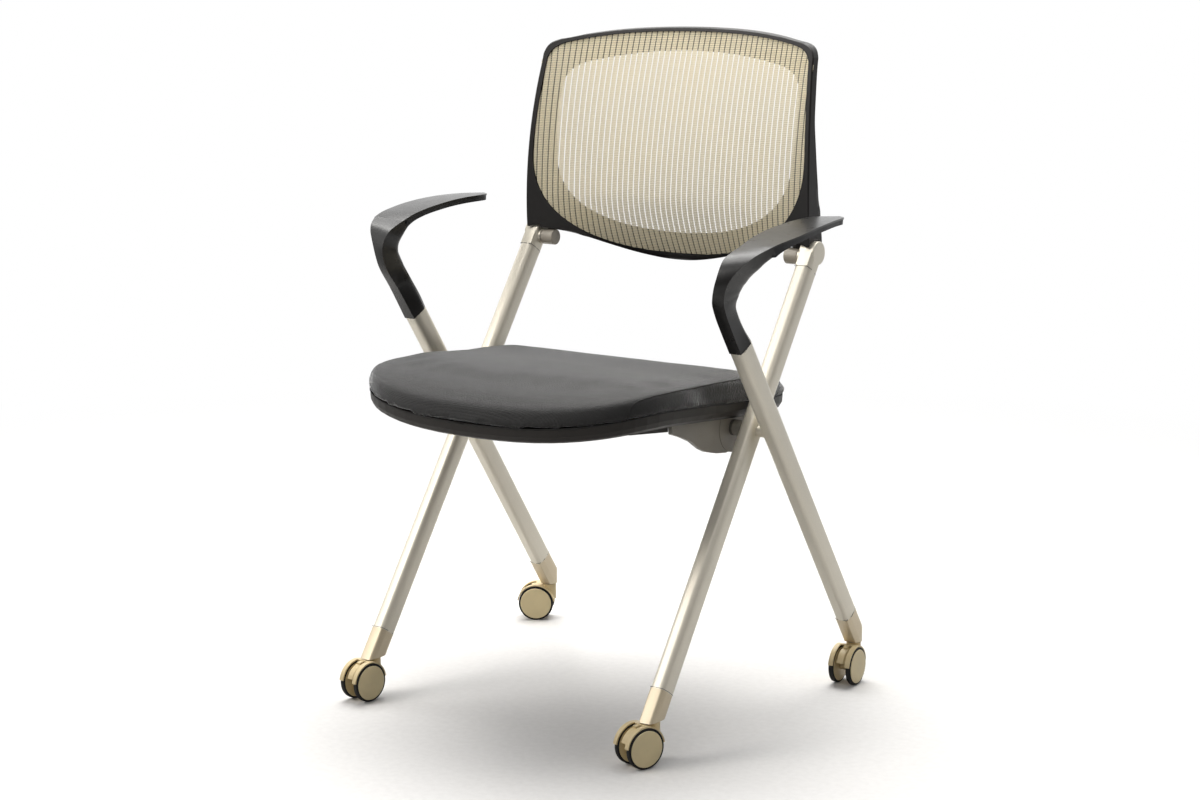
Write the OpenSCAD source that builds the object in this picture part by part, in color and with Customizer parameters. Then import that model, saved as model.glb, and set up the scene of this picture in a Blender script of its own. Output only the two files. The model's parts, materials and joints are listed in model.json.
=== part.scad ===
// Nesting chair: flip-up seat on a crossed-leg frame with twin-wheel casters,
// a sprung mesh back and moulded armrests. Millimetres, front faces -Y, +Z is up.
// Origin: on the floor, under the middle of the chair's outer box.

/* [Frame] */
// Setback of the leg crossing axis from the middle of the box
cross_y = 33.4; // [20:0.1:45]
// Height of the leg crossing axis, which is also the seat's flip axis
cross_z = 369; // [340:1:420]
// Offset of the inner legs (front caster to back pivot) from the middle
inner_leg_x = 219; // [200:0.5:240]
// Offset of the outer legs (rear caster to armrest) from the middle
outer_leg_x = 252.7; // [235:0.1:275]
// Backward lean of the inner legs, degrees
inner_lean = 34.2; // [28:0.1:40]
// Forward lean of the outer legs, degrees
outer_lean = 34.6; // [28:0.1:40]
// Width of the leg tube across the chair
leg_w = 22; // [18:0.5:28]
// Depth of the leg tube in the side view
leg_d = 30; // [24:0.5:36]
// Width of the flat front face of the leg tube
leg_face_w = 16.5; // [12:0.5:20]
// Wall of the leg tube
leg_wall = 2; // [1.5:0.1:3]
// Length of inner tube below the crossing
inner_low = 347; // [320:1:380]
// Length of inner tube above the crossing
inner_high = 224; // [200:1:240]
// Length of outer tube below the crossing
outer_low = 330; // [300:1:360]
// Length of outer tube above the crossing
outer_high = 143.4; // [120:0.1:160]
// Radius of the cross tube under the seat
tube_r = 8; // [7:0.5:10]
// Radius of the weld spacer between two legs
spacer_r = 8; // [6:0.5:10]

/* [Casters] */
// Wheel diameter
wheel_d = 50; // [40:1:60]
// Width over the two wheels of one caster
caster_w = 34; // [30:1:40]
// Distance from the swivel axis to the wheel axle
trail = 19; // [15:0.5:24]
// Height of the underside of the feet
foot_z = 53.5; // [50:0.5:66]
// Setback of the front swivel axes from the crossing
front_stem_y = -215.5; // [-240:0.5:-190]
// Setback of the rear swivel axes from the crossing
rear_stem_y = 210; // [190:0.5:240]
// Heading of the front right caster in the photo, degrees
head_front_right = 70; // [-180:1:180]
// Heading of the front left caster
head_front_left = 84; // [-180:1:180]
// Heading of the rear right caster
head_rear_right = 94; // [-180:1:180]
// Heading of the rear left caster
head_rear_left = 31; // [-180:1:180]

/* [Back] */
// Distance of the back pivot behind the crossing
pivot_y = 137; // [120:0.5:150]
// Height of the back pivot
pivot_z = 570; // [550:1:590]
// Half width of the back at its lower corners
back_half_w = 224.3; // [210:0.1:230]
// Height of the middle of the top edge
back_top_z = 856; // [830:1:880]
// Height of the lower corners, just above the barrels
corner_z = 582.5; // [575:0.5:590]
// Height of the most forward line of the back, at the lumbar
lumbar_z = 633; // [610:1:650]
// Setback of that line from the crossing, in the middle
lumbar_y = 135.5; // [125:0.5:145]
// How far the sides stand in front of the middle at the lumbar
bow = 14; // [8:0.5:20]
// Depth of the frame's side wall near the top
rim_top_d = 15.6; // [12:0.1:20]
// Depth of the recess that the mesh lies in
mesh_recess = 3.2; // [2.5:0.1:4]
// Thickness of the mesh panel
mesh_t = 1.4; // [1:0.1:2]
// Spacing of the mesh stripes
stripe_pitch = 8.5; // [7:0.5:12]
// Width of the gaps between the stripes
stripe_gap = 2; // [1.5:0.1:3]
// Number of gaps across the mesh
gap_count = 48; // [30:2:56]
// Number of gaps up the mesh
gap_rows = 5; // [3:1:6]

/* [Arms] */
// Distance along the leg from the crossing to the start of the knee
knee_start = 215.5; // [210:0.5:230]
// Outer radius of the knee
knee_r = 43.2; // [32:0.5:48]
// Slope of the path where the knee ends, degrees
knee_slope = 23; // [15:0.5:35]
// Radius of the bend after the knee
brow_r = 240; // [180:5:320]
// Slope where the long flat top begins, degrees
brow_slope = 11; // [6:0.5:15]
// Radius of the long top
pad_r = 700; // [500:10:1200]
// Slope at the tip, degrees
tip_slope = -2.8; // [-5:0.1:0]
// Largest half width of the top plate
pad_half_w = 28; // [24:0.5:34]
// How far the pad stands out from the leg's middle
pad_out = 33.3; // [20:0.1:40]
// Largest outward twist of the stem, degrees
arm_twist = 11; // [0:1:20]
// Thickness of the top plate
plate_t = 2.2; // [1.8:0.1:4]

/* [Seat] */
// Half width of the seat before its taper
seat_half_w = 211.6; // [190:0.1:215]
// Distance of the widest line in front of the crossing
seat_mid_y = -127; // [-150:1:-100]
// Length of the seat in front of that line
seat_front = 165.5; // [140:0.5:190]
// Length of the seat behind that line
seat_rear = 299.7; // [260:0.1:320]
// Height of the line between cushion and shell above the crossing
seam_line_z = 402; // [390:0.5:415]
// Fall of the seat towards the back, per millimetre
seat_fall = 0.09; // [0:0.01:0.15]
// Extra drop of the front edge
front_drop = 30.6; // [15:0.1:40]
// Height of the cushion's side above the shell
cushion_side = 33; // [25:1:45]
// Extra height of the cushion's middle
cushion_crown = 7; // [4:0.5:20]
// Depth by which the cushion sits down into the shell
cushion_sink = 6; // [4:0.5:10]
// Height of the shell's side
shell_h = 21.2; // [18:0.1:28]
// Thickness of the seat board
board_t = 12; // [9:0.5:15]
// Outer face of the seat brackets
bracket_x = 192; // [186:0.5:198]
// Width of the bracket's housing round the flip axis
housing_w = 17; // [14:0.5:24]
// Radius of that housing
housing_r = 31; // [26:0.5:34]
// How far the seat flips up, degrees
flip_range = 78; // [60:1:85]

/* [Hidden] */
$fn = 48;

// Colours
frame_colour = [0.80, 0.77, 0.70];
cast_colour = [0.72, 0.69, 0.62];
black_plastic = [0.07, 0.07, 0.08];
barrel_colour = [0.62, 0.62, 0.62];
bracket_colour = [0.70, 0.70, 0.68];
dark_plastic = [0.20, 0.20, 0.21];
cushion_colour = [0.09, 0.09, 0.10];
mesh_colour = [0.66, 0.62, 0.54];
caster_colour = [0.66, 0.61, 0.51];
tyre_colour = [0.05, 0.05, 0.05];
steel_colour = [0.55, 0.55, 0.56];
wood_colour = [0.72, 0.58, 0.40];

// Clearances and shared details
over = 1;
fit = 0.15;
run = 0.05;
seat_gap = 0.3;
edge_r = 2;
leg_round_r = leg_w / 2;
leg_crease = 8;
leg_crown_r = 70;
spigot_l = 26;
bolt_r = 2.5;
head_r = 4.5;
head_t = 2.5;

// Derived places
inner_face_x = inner_leg_x - leg_w / 2;
inner_out_x = inner_leg_x + leg_w / 2;
outer_face_x = outer_leg_x - leg_w / 2;
pivot_along = sqrt(pow(pivot_y, 2) + pow(pivot_z - cross_z, 2));
cap_proud = 0.25;
cap_r = leg_d / 2 + cap_proud;
cap_beyond = 6;
recess_gap = 3.5;
boss_r = 10.6;
barrel_r = 10.6;
barrel_out_x = 204;
barrel_l = 19.5;
barrel_in_x = barrel_out_x - barrel_l;
barrel_end_t = 3;
pin_r = 6;
pin_in_x = barrel_in_x + barrel_end_t + seat_gap;
ring_t = 0.6;
ring_gap = 0.05;
tang_w = 12;
tang_t = 6;
tang_h = 38;
tang_x = 190;

// Points a and b mixed by t
function mix(a, b, t) = a + (b - a) * t;
function sign_pow(v, e) = sign(v) * pow(abs(v), e);
function bezier(a, b, c, t) = a * pow(1 - t, 2) + b * 2 * t * (1 - t) + c * pow(t, 2);
function towards(a, b, d) = a + (b - a) / norm(b - a) * d;

// Triangles between rings of equal count, the ring closed on itself
function ring_quads(first, last, count) = [for (i = [first : last - 1], j = [0 : count - 1])
    let (a = i * count + j, b = i * count + (j + 1) % count)
    each [[a, a + count, b], [b, a + count, b + count]]];
function end_fan(first, count, flip) = [for (j = [1 : count - 2])
    flip ? [first, first + j, first + j + 1] : [first, first + j + 1, first + j]];

module placed() {
    translate([0, cross_y, 0]) children();
}
module on_side(s) {
    mirror([s < 0 ? 1 : 0, 0, 0]) placed() children();
}
module both_sides() {
    for (s = [-1, 1]) on_side(s) children();
}
module rod_x(r, x0, x1) {
    translate([x0, 0, 0]) rotate([0, 90, 0]) cylinder(r = r, h = x1 - x0);
}
module inner_line() {
    translate([inner_leg_x, 0, cross_z]) rotate([-inner_lean, 0, 0]) children();
}
module outer_line() {
    translate([outer_leg_x, 0, cross_z]) rotate([outer_lean, 0, 0]) children();
}
module at_flip_axis() {
    translate([0, 0, cross_z]) children();
}
module at_back_pivot() {
    translate([0, pivot_y, pivot_z]) children();
}

// Disc along +X with rounded edges on both faces
module soft_disc(r, x0, x1, e) {
    translate([x0, 0, 0]) rotate([0, 90, 0]) rotate_extrude() soft_profile(r, x1 - x0, e);
}
module soft_profile(r, h, e) {
    square([r - e, h]);
    translate([0, e]) square([r, h - 2 * e]);
    for (z = [e, h - e]) translate([r - e, z]) circle(r = e);
}

// Leg section: flat crowned front with sharp creases, straight flanks, round back
module leg_section(inset) {
    front = -leg_d / 2 + inset;
    intersection() {
        union() {
            translate([0, leg_d / 2 - leg_round_r]) circle(r = leg_round_r - inset);
            polygon([[-leg_face_w / 2 + inset / 2, front], [leg_face_w / 2 - inset / 2, front],
                [leg_w / 2 - inset, front + leg_crease], [leg_w / 2 - inset, leg_d / 2 - leg_round_r],
                [-leg_w / 2 + inset, leg_d / 2 - leg_round_r], [-leg_w / 2 + inset, front + leg_crease]]);
        }
        translate([0, leg_crown_r + front]) circle(r = leg_crown_r);
    }
}
module leg_tube(low, high) {
    translate([0, 0, -low]) difference() {
        linear_extrude(low + high) leg_section(0);
        translate([0, 0, -over]) linear_extrude(low + high + 2 * over) leg_section(leg_wall);
    }
}

module leg_front(s) {
    color(frame_colour) on_side(s) inner_line() leg_tube(inner_low, inner_high);
}

module leg_rear(s) {
    color(frame_colour) on_side(s) difference() {
        outer_line() leg_tube(outer_low, outer_high);
        arm_screw_places() cylinder(r = bolt_r + fit, h = leg_wall * 3, center = true);
    }
}

// Cast foot: runs on from the tube, flat underneath, spigot up inside
stem_r = 5;
stem_up = 15;
foot_top = 40;
module foot(low) {
    translate([0, 0, -low - leg_d * 2]) linear_extrude(leg_d * 2) leg_section(0);
    translate([0, 0, -low]) linear_extrude(spigot_l) leg_section(leg_wall + fit);
}
module foot_front(s) {
    color(cast_colour) on_side(s) difference() {
        inner_line() foot(inner_low);
        translate([0, -cross_z, foot_z - cross_z]) cube([cross_z, cross_z * 2, cross_z]);
        translate([inner_leg_x, front_stem_y, foot_z - over]) cylinder(r = stem_r, h = stem_up + over);
    }
}
// The rear foot ends in a half round about the swivel axis
module rear_foot_limit() {
    translate([outer_leg_x, rear_stem_y, 0]) linear_extrude(cross_z) union() {
        circle(r = leg_w / 2);
        translate([-leg_w / 2, -cross_z]) square([leg_w, cross_z]);
    }
}
module foot_rear(s) {
    color(cast_colour) on_side(s) difference() {
        intersection() {
            outer_line() foot(outer_low);
            rear_foot_limit();
        }
        translate([0, -cross_z, foot_z - cross_z]) cube([cross_z, cross_z * 2, cross_z]);
        translate([outer_leg_x, rear_stem_y, foot_z - over]) cylinder(r = stem_r, h = stem_up + over);
    }
}

module cross_tube() {
    color(frame_colour) placed() at_flip_axis() difference() {
        rod_x(tube_r, -inner_face_x, inner_face_x);
        rod_x(tube_r - leg_wall, -inner_face_x - over, inner_face_x + over);
        for (s = [-1, 1]) stop_place(s) cylinder(r = stop_r, h = tube_r + over);
    }
}

module leg_spacers() {
    color(frame_colour) both_sides() at_flip_axis() rod_x(spacer_r, inner_out_x, outer_face_x);
}

// Rounded cap on the inner leg: it ends just beyond the back pivot
cap_start = inner_high;
module at_cap() {
    translate([0, 0, cross_z]) rotate([-inner_lean, 0, 0]) translate([0, 0, pivot_along + cap_beyond])
        children();
}
module back_cap(s) {
    color(cast_colour) on_side(s) difference() {
        union() {
            inner_line() translate([0, 0, cap_start]) linear_extrude(pivot_along + cap_beyond - cap_start)
                leg_section(0);
            inner_line() translate([0, 0, cap_start - spigot_l / 2]) linear_extrude(spigot_l / 2 + over)
                leg_section(leg_wall + fit);
            at_cap() soft_disc(cap_r, inner_face_x, inner_out_x, edge_r);
            at_back_pivot() rod_x(boss_r, barrel_out_x + ring_t + 2 * ring_gap, inner_leg_x);
        }
        at_back_pivot() rod_x(pin_r, barrel_out_x, inner_leg_x + leg_w / 4);
    }
}
module back_pivot_pins() {
    color(steel_colour) both_sides() at_back_pivot() rod_x(pin_r, pin_in_x, inner_leg_x + leg_w / 4);
}

// Armrest path in the side view: stem, knee, brow and long top
stem_steps = 5;
knee_steps = 10;
brow_steps = 5;
pad_steps = 13;
arm_side = [-sin(outer_lean), cos(outer_lean)];
arm_deep = [cos(outer_lean), sin(outer_lean)];
function arm_front(s) = [0, cross_z] + arm_side * s - arm_deep * leg_d / 2;
function bend_end(p, r, d0, d1) = p + r * [sin(d0) - sin(d1), cos(d1) - cos(d0)];
knee_end = bend_end(arm_front(knee_start), knee_r, 90 + outer_lean, knee_slope);
brow_end = bend_end(knee_end, brow_r, knee_slope, brow_slope);
stem_len = knee_start - outer_high;
knee_len = knee_r * (90 + outer_lean - knee_slope) * PI / 180;
brow_len = brow_r * (knee_slope - brow_slope) * PI / 180;
pad_len = pad_r * (brow_slope - tip_slope) * PI / 180;
arm_len = stem_len + knee_len + brow_len + pad_len;
knee_t0 = stem_len / arm_len;
knee_t1 = (stem_len + knee_len) / arm_len;
brow_t1 = (stem_len + knee_len + brow_len) / arm_len;

// Place and slope of the top surface at share t of the path
function arm_slope(t) = t < knee_t0 ? 90 + outer_lean
    : t < knee_t1 ? mix(90 + outer_lean, knee_slope, (t - knee_t0) / (knee_t1 - knee_t0))
    : t < brow_t1 ? mix(knee_slope, brow_slope, (t - knee_t1) / (brow_t1 - knee_t1))
    : mix(brow_slope, tip_slope, (t - brow_t1) / (1 - brow_t1));
function arm_top(t) = t < knee_t0 ? arm_front(outer_high + t * arm_len)
    : t < knee_t1 ? bend_end(arm_front(knee_start), knee_r, 90 + outer_lean, arm_slope(t))
    : t < brow_t1 ? bend_end(knee_end, brow_r, knee_slope, arm_slope(t))
    : bend_end(brow_end, pad_r, brow_slope, arm_slope(t));
function arm_down(t) = [sin(arm_slope(t)), -cos(arm_slope(t))];

// Half widths as shares of pad_half_w, offsets as shares of pad_out, thicknesses as shares
// of the leg's depth and twists as shares of arm_twist, each against the share of the path
arm_width_shares = [[0, 0.295], [0.1, 0.282], [0.211, 0.268], [0.268, 0.271], [0.306, 0.332],
    [0.335, 0.439], [0.363, 0.571], [0.401, 0.7], [0.454, 0.832], [0.512, 0.918], [0.568, 0.975],
    [0.623, 1], [0.678, 0.986], [0.733, 0.939], [0.788, 0.904], [0.843, 0.839], [0.898, 0.768],
    [0.953, 0.607], [0.981, 0.393], [0.992, 0.232], [1, 0.089]];
arm_offset_shares = [[0, 0], [0.1, 0], [0.16, 0.02], [0.211, 0.08], [0.268, 0.24], [0.306, 0.38],
    [0.335, 0.49], [0.363, 0.59], [0.401, 0.72], [0.454, 0.874], [0.512, 0.955], [0.568, 0.991],
    [0.623, 1], [0.678, 0.985], [0.733, 0.97], [0.788, 0.931], [0.843, 0.871], [0.898, 0.811],
    [0.953, 0.805], [0.981, 0.829], [1, 0.835]];
arm_thick_shares = [[0, 1], [0.06, 0.95], [0.13, 0.93], [0.15, 0.95], [0.211, 0.95], [0.401, 0.4],
    [0.456, 0.4], [0.5, 0.41], [0.6, 0.417], [0.8, 0.35], [0.93, 0.267], [1, 0.167]];
// Sideways shift of the stem's rear and how square its rear corners are (1 is round)
arm_rear_shares = [[0, 0], [0.05, -0.1], [0.1, -0.12], [0.15, -0.08], [0.2, 0.05], [0.28, 0.1], [0.4, 0],
    [1, 0]];
arm_round_shares = [[0, 1], [0.08, 0.9], [0.19, 0.75], [0.3, 0.62], [0.456, 0.75], [1, 0.9]];
arm_twist_shares = [[0, 0], [0.1, 0.364], [0.211, 0.818], [0.268, 1], [0.306, 0.909], [0.335, 0.636],
    [0.363, 0.273], [0.401, -0.273], [0.454, -0.455], [0.512, -0.182], [0.568, 0], [1, 0]];
function arm_half(t) = pad_half_w * lookup(t, arm_width_shares);
function arm_x(t) = outer_leg_x + pad_out * lookup(t, arm_offset_shares);
function arm_thick(t) = leg_d * lookup(t, arm_thick_shares);

// The underside leaves the stem, sweeps round inside the knee and joins the pad
bend_t = [0.15, 0.5];
bend_corner_y = -110;
bend_corner_rise = 211;
bend_corner = [bend_corner_y, cross_z + bend_corner_rise];
function arm_plain_under(t) = arm_top(t) + arm_down(t) * arm_thick(t);
function arm_under_point(t) = t < bend_t[0] || t > bend_t[1] ? arm_plain_under(t)
    : bezier(arm_plain_under(bend_t[0]), bend_corner, arm_plain_under(bend_t[1]),
        (t - bend_t[0]) / (bend_t[1] - bend_t[0]));

arm_edge_share = 0.62;
arm_crown = 0.5;
face_points = 7;
back_points = 10;
stem_bulge = leg_w / 2 - leg_face_w / 2;
pad_bulge = 0.4;
function arm_bulge(t) = mix(stem_bulge, pad_bulge, min(1, t / knee_t1));
function crown_drop(t, p) = arm_crown * min(1, 0.35 + t) * pow(p / arm_half(t), 2);

// One section of the arm: p runs across, q runs down from the top surface
function arm_rear(t, q) = pad_out * lookup(t, arm_rear_shares) * q / leg_d;
function arm_point(t, p, q) = let (a = arm_top(t), b = arm_under_point(t), d = (b - a) / norm(b - a),
        w = arm_twist * lookup(t, arm_twist_shares), c = a + d * (q + p * sin(w)))
    [arm_x(t) + arm_rear(t, q) + p * cos(w), c[0], c[1]];
function arm_ring(t, thin) = let (h = arm_half(t), deep = norm(arm_under_point(t) - arm_top(t)),
        e = lookup(t, arm_round_shares))
    concat([for (i = [0 : face_points - 1]) let (p = mix(-h, h, i / (face_points - 1)))
            arm_point(t, p, crown_drop(t, p))],
        [for (i = [0 : back_points - 1]) let (a = 180 * i / (back_points - 1))
            thin ? arm_point(t, h * cos(a), crown_drop(t, h * cos(a)) + plate_t)
                : arm_point(t, (h + arm_bulge(t)) * sign_pow(cos(a), e),
                    deep * mix(arm_edge_share, 1, sign_pow(sin(a), e)))]);
notch_t = 0.456;
notch_len = 0.0015;
arm_stations = concat([for (i = [0 : stem_steps]) knee_t0 * i / stem_steps],
    [for (i = [1 : knee_steps]) mix(knee_t0, knee_t1, i / knee_steps)],
    [mix(knee_t1, notch_t, 0.5), notch_t]);
plate_stations = concat([notch_t + notch_len],
    [for (i = [1 : brow_steps]) mix(notch_t, brow_t1, i / brow_steps)],
    [for (i = [1 : pad_steps]) mix(brow_t1, 1, sin(90 * i / pad_steps))]);
module armrest(s) {
    rings = concat([for (t = arm_stations) arm_ring(t, false)], [for (t = plate_stations) arm_ring(t, true)]);
    count = face_points + back_points;
    color(black_plastic) on_side(s)
        polyhedron(points = [for (r = rings, p = r) p],
            faces = concat(ring_quads(0, len(rings) - 1, count), end_fan(0, count, true),
                end_fan((len(rings) - 1) * count, count, false)));
}

// Piece under the plate, drawn in from its edge and narrower below
under_inset = 1;
under_taper = 3.5;
under_edge_share = 0.55;
under_stations = concat([for (i = [0 : brow_steps]) mix(notch_t + 3 * notch_len, brow_t1, i / brow_steps)],
    [for (i = [1 : pad_steps - 1]) mix(brow_t1, 1, sin(90 * i / pad_steps))]);
function under_ring(t) = let (h = arm_half(t) - under_inset, deep = norm(arm_under_point(t) - arm_top(t)))
    concat([for (i = [0 : face_points - 1]) let (p = mix(-h, h, i / (face_points - 1)))
            arm_point(t, p, crown_drop(t, p) + plate_t + seat_gap / 2)],
        [for (i = [0 : back_points - 1]) let (a = 180 * i / (back_points - 1))
            arm_point(t, (h - under_taper * min(1, h / pad_half_w)) * cos(a),
                deep * mix(under_edge_share, 1, sin(a)))]);
module arm_under(s) {
    rings = [for (t = under_stations) under_ring(t)];
    count = face_points + back_points;
    color(black_plastic) on_side(s)
        polyhedron(points = [for (r = rings, p = r) p],
            faces = concat(ring_quads(0, len(rings) - 1, count), end_fan(0, count, true),
                end_fan((len(rings) - 1) * count, count, false)));
}

// Insert in the leg's open end that the armrest sits on, held by two set screws from behind
arm_screw_share = [0.35, 0.75];
module arm_screw_places() {
    outer_line() for (k = arm_screw_share)
        translate([0, leg_d / 2, outer_high - spigot_l * k]) rotate([90, 0, 0]) children();
}
module arm_spigots() {
    color(steel_colour) both_sides() difference() {
        outer_line() translate([0, 0, outer_high - spigot_l]) linear_extrude(spigot_l)
            leg_section(leg_wall + fit);
        arm_screw_places() cylinder(r = bolt_r, h = leg_d / 2);
    }
}
module arm_screws() {
    color(steel_colour) both_sides() arm_screw_places() translate([0, 0, seat_gap])
        cylinder(r = bolt_r, h = leg_d / 2 - seat_gap);
}

// Radial pin in the cross tube that stops the seat inside its housing
stop_r = 3;
stop_reach = 23;
stop_angle = 215;
housing_mid_x = bracket_x - housing_w / 2;
module stop_place(s) {
    translate([s * housing_mid_x, 0, 0]) rotate([stop_angle - 90, 0, 0]) children();
}
module seat_stop_pins() {
    color(steel_colour) placed() at_flip_axis() for (s = [-1, 1]) stop_place(s)
        translate([0, 0, tube_r - leg_wall]) cylinder(r = stop_r, h = stop_reach - tube_r + leg_wall);
}

// Seat outline: a superellipse with its own exponents in front and behind
front_power = [2.39, 3.86];
rear_power = 6.1;
seat_taper = 0.043;
outline_steps = 56;
widest_angles = [0, 0.06, 0.5];
function seat_edge(a) = let (c = cos(a), s = sin(a), back = s > 0,
        y = back ? seat_rear * sign_pow(s, 2 / rear_power) : seat_front * sign_pow(s, 2 / front_power[1]),
        x = seat_half_w * sign_pow(c, 2 / (back ? rear_power : front_power[0])))
    [x * (1 - seat_taper * y / seat_half_w), seat_mid_y + y];
function half_angles(first) = [for (i = [first : first + outline_steps / 2 - 1])
    360 * (i + 0.5) / outline_steps];
seat_outline = [for (a = concat(widest_angles, half_angles(0),
    [for (a = [2, 1, 0]) 180 - widest_angles[a]], half_angles(outline_steps / 2))) seat_edge(a)];
seat_steps = len(seat_outline);

// Height of the line between cushion and shell at setback y, straight and with the front drop
function plane_z(y) = seam_line_z - seat_fall * y;
function line_z(y) = plane_z(y) - front_drop * pow(max(0, (seat_mid_y - y) / seat_front), 3);
function seat_ring(share) = [for (p = seat_outline)
    [p[0] * share, seat_mid_y + (p[1] - seat_mid_y) * share]];

// Closed skin of rings, capped by a fan at both ends
module ring_skin(rings, count) {
    polyhedron(points = [for (r = rings, p = r) p],
        faces = concat(ring_quads(0, len(rings) - 1, count), end_fan(0, count, true),
            end_fan((len(rings) - 1) * count, count, false)));
}

// Height of the cushion's side as shares of cushion_side, against the setback as a share
// of the length in front of the widest line (negative) or behind it
cushion_height_shares = [[-1, 0.76], [-0.74, 0.79], [-0.32, 0.84], [0.09, 0.9], [0.3, 0.97], [0.48, 1.03],
    [0.56, 0.98], [0.66, 0.88], [0.79, 0.74], [0.89, 0.6], [0.96, 0.48], [1.05, 0.38]];
cushion_crown_shares = [[-1, 1], [0, 1], [0.4, 0.5], [0.7, -0.2], [1, 0]];
function along_share(y) = (y - seat_mid_y) / (y < seat_mid_y ? seat_front : seat_rear);
function cushion_h(y) = cushion_side * lookup(along_share(y), cushion_height_shares);
function crown_h(y) = cushion_crown * lookup(along_share(y), cushion_crown_shares);

// Cushion rings: underside shares, then side (share, height share) and top shares
rim_share = 0.972;
under_shares = [0.3, 0.55, 0.66, 0.78, 0.9, 0.966];
top_share = 1.03;
side_shares = [[1, 0], [1.005, 0.18], [1.008, 0.38], [1.006, 0.58], [0.999, 0.74], [0.985, 0.87],
    [0.962, 0.96], [0.93, 1.01]];
top_shares = [0.86, 0.75, 0.6, 0.42, 0.22, 0.08];
// The sides draw in behind the front corners, to pass the front legs as the seat flips
waist_y = -95;
line_waist_y = -78;
waist_spread = 0.2;
function waisted(p, from) = let (most = inner_face_x - seat_gap + waist_spread * max(0, from - p[1]))
    [sign(p[0]) * min(abs(p[0]), most), p[1]];
module seat_cushion() {
    rings = concat(
        [for (u = under_shares) [for (p = seat_ring(u))
            [p[0], p[1], min(plane_z(p[1]) - cushion_sink, line_z(p[1]))]]],
        [[for (p = seat_ring(rim_share)) [p[0], p[1], line_z(p[1])]]],
        [for (u = side_shares) [for (q = seat_ring(u[0]))
            let (p = waisted(q, u[1] > 0 ? waist_y : line_waist_y))
            [p[0], p[1], line_z(p[1]) + cushion_h(p[1]) * u[1]]]],
        [for (u = top_shares) [for (p = seat_ring(u))
            [p[0], p[1], line_z(p[1]) + cushion_h(p[1]) * top_share + crown_h(p[1]) * (1 - pow(u, 2))]]]);
    color(cushion_colour) placed() ring_skin(rings, seat_steps);
}

fall_angle = atan(seat_fall);
fall_cos = cos(fall_angle);
module on_seat_plane(drop) {
    translate([0, 0, seam_line_z]) rotate([-fall_angle, 0, 0]) translate([0, 0, -drop * fall_cos])
        children();
}

// Plywood board between cushion and shell
board_half_w = 172;
board_front_y = -200;
board_rear_y = 140;
board_corner_r = 60;
board_play = 0.02;
module seat_board() {
    color(wood_colour) placed() difference() {
        on_seat_plane(cushion_sink + board_t - board_play)
            linear_extrude((board_t - 2 * board_play) * fall_cos) union() {
            translate([-board_half_w, board_front_y + board_corner_r])
                square([2 * board_half_w, board_rear_y - board_front_y - 2 * board_corner_r]);
            translate([board_corner_r - board_half_w, board_front_y])
                square([2 * (board_half_w - board_corner_r), board_rear_y - board_front_y]);
            for (x = [-1, 1], y = [board_front_y + board_corner_r, board_rear_y - board_corner_r])
                translate([x * (board_half_w - board_corner_r), y]) circle(r = board_corner_r);
        }
        seat_screw_places() translate([0, 0, -over]) cylinder(r = bolt_r, h = screw_reach + over);
    }
}

// Tray under the cushion: rim at the line, rounded lower edge, floor under the board
shell_wall = 3;
shell_floor = shell_h - cushion_sink - board_t;
shell_out_shares = [[1, 0.02], [0.998, 0.45], [0.985, 0.75], [0.962, 0.93], [0.93, 1], [0.7, 1], [0.35, 1]];
shell_in_shares = [[0.35, 1], [0.7, 1], [0.925, 1], [0.955, 0.9], [0.972, 0.72], [0.9835, 0.4],
    [0.984, 0.02]];
// Thickened front of the shell's underside, ahead of each bracket
rib_w = 6;
flange_w = 34;
flange_front_y = -136;
flange_rear_y = 72;
flange_t = 4;
pad_front_y = -216;
pad_rear_y = flange_front_y - seat_gap;
pad_front_drop = 2.5;
pad_rear_drop = 9;
pad_sink = 1.6;
module shell_pad() {
    translate([bracket_x - flange_w, 0, 0]) rotate([90, 0, 90]) linear_extrude(flange_w - rib_w)
        polygon([for (p = [[pad_front_y, -pad_sink], [pad_rear_y, -pad_sink], [pad_rear_y, pad_rear_drop],
                [pad_front_y, pad_front_drop]]) [p[0], line_z(p[0]) - shell_h - p[1]]]);
}
// Flat under the shell that the bracket's flange lies on
module bracket_seat() {
    on_seat_plane(shell_h) translate([bracket_x - flange_w - seat_gap, pad_rear_y, -flange_t])
        cube([flange_w + 2 * seat_gap, flange_rear_y - pad_rear_y + seat_gap, flange_t]);
}
module seat_shell() {
    outer = [for (u = shell_out_shares) [for (q = seat_ring(u[0])) let (p = waisted(q, line_waist_y))
        [p[0], p[1], line_z(p[1]) - shell_h * u[1]]]];
    inner = [for (u = shell_in_shares) [for (p = seat_ring(u[0]))
        [p[0], p[1], line_z(p[1]) - (shell_h - shell_floor) * u[1]]]];
    count = seat_steps;
    rows = len(outer) - 1;
    color(black_plastic) placed() difference() {
        union() {
            polyhedron(points = [for (r = concat(outer, inner), p = r) p],
                faces = [for (f = concat(ring_quads(0, rows, count), end_fan(rows * count, count, false),
                    ring_quads(rows + 1, rows + len(inner), count), end_fan((rows + 1) * count, count, true),
                    [for (j = [0 : count - 1]) let (a = (rows + len(inner)) * count, b = (j + 1) % count)
                        each [[a + j, j, a + b], [a + b, j, b]]])) [f[0], f[2], f[1]]]);
            for (s = [-1, 1]) mirror([s < 0 ? 1 : 0, 0, 0]) shell_pad();
        }
        seat_screw_places() translate([0, 0, -over]) cylinder(r = bolt_r + fit, h = shell_h);
        for (s = [-1, 1]) mirror([s < 0 ? 1 : 0, 0, 0]) bracket_seat();
    }
}

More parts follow.
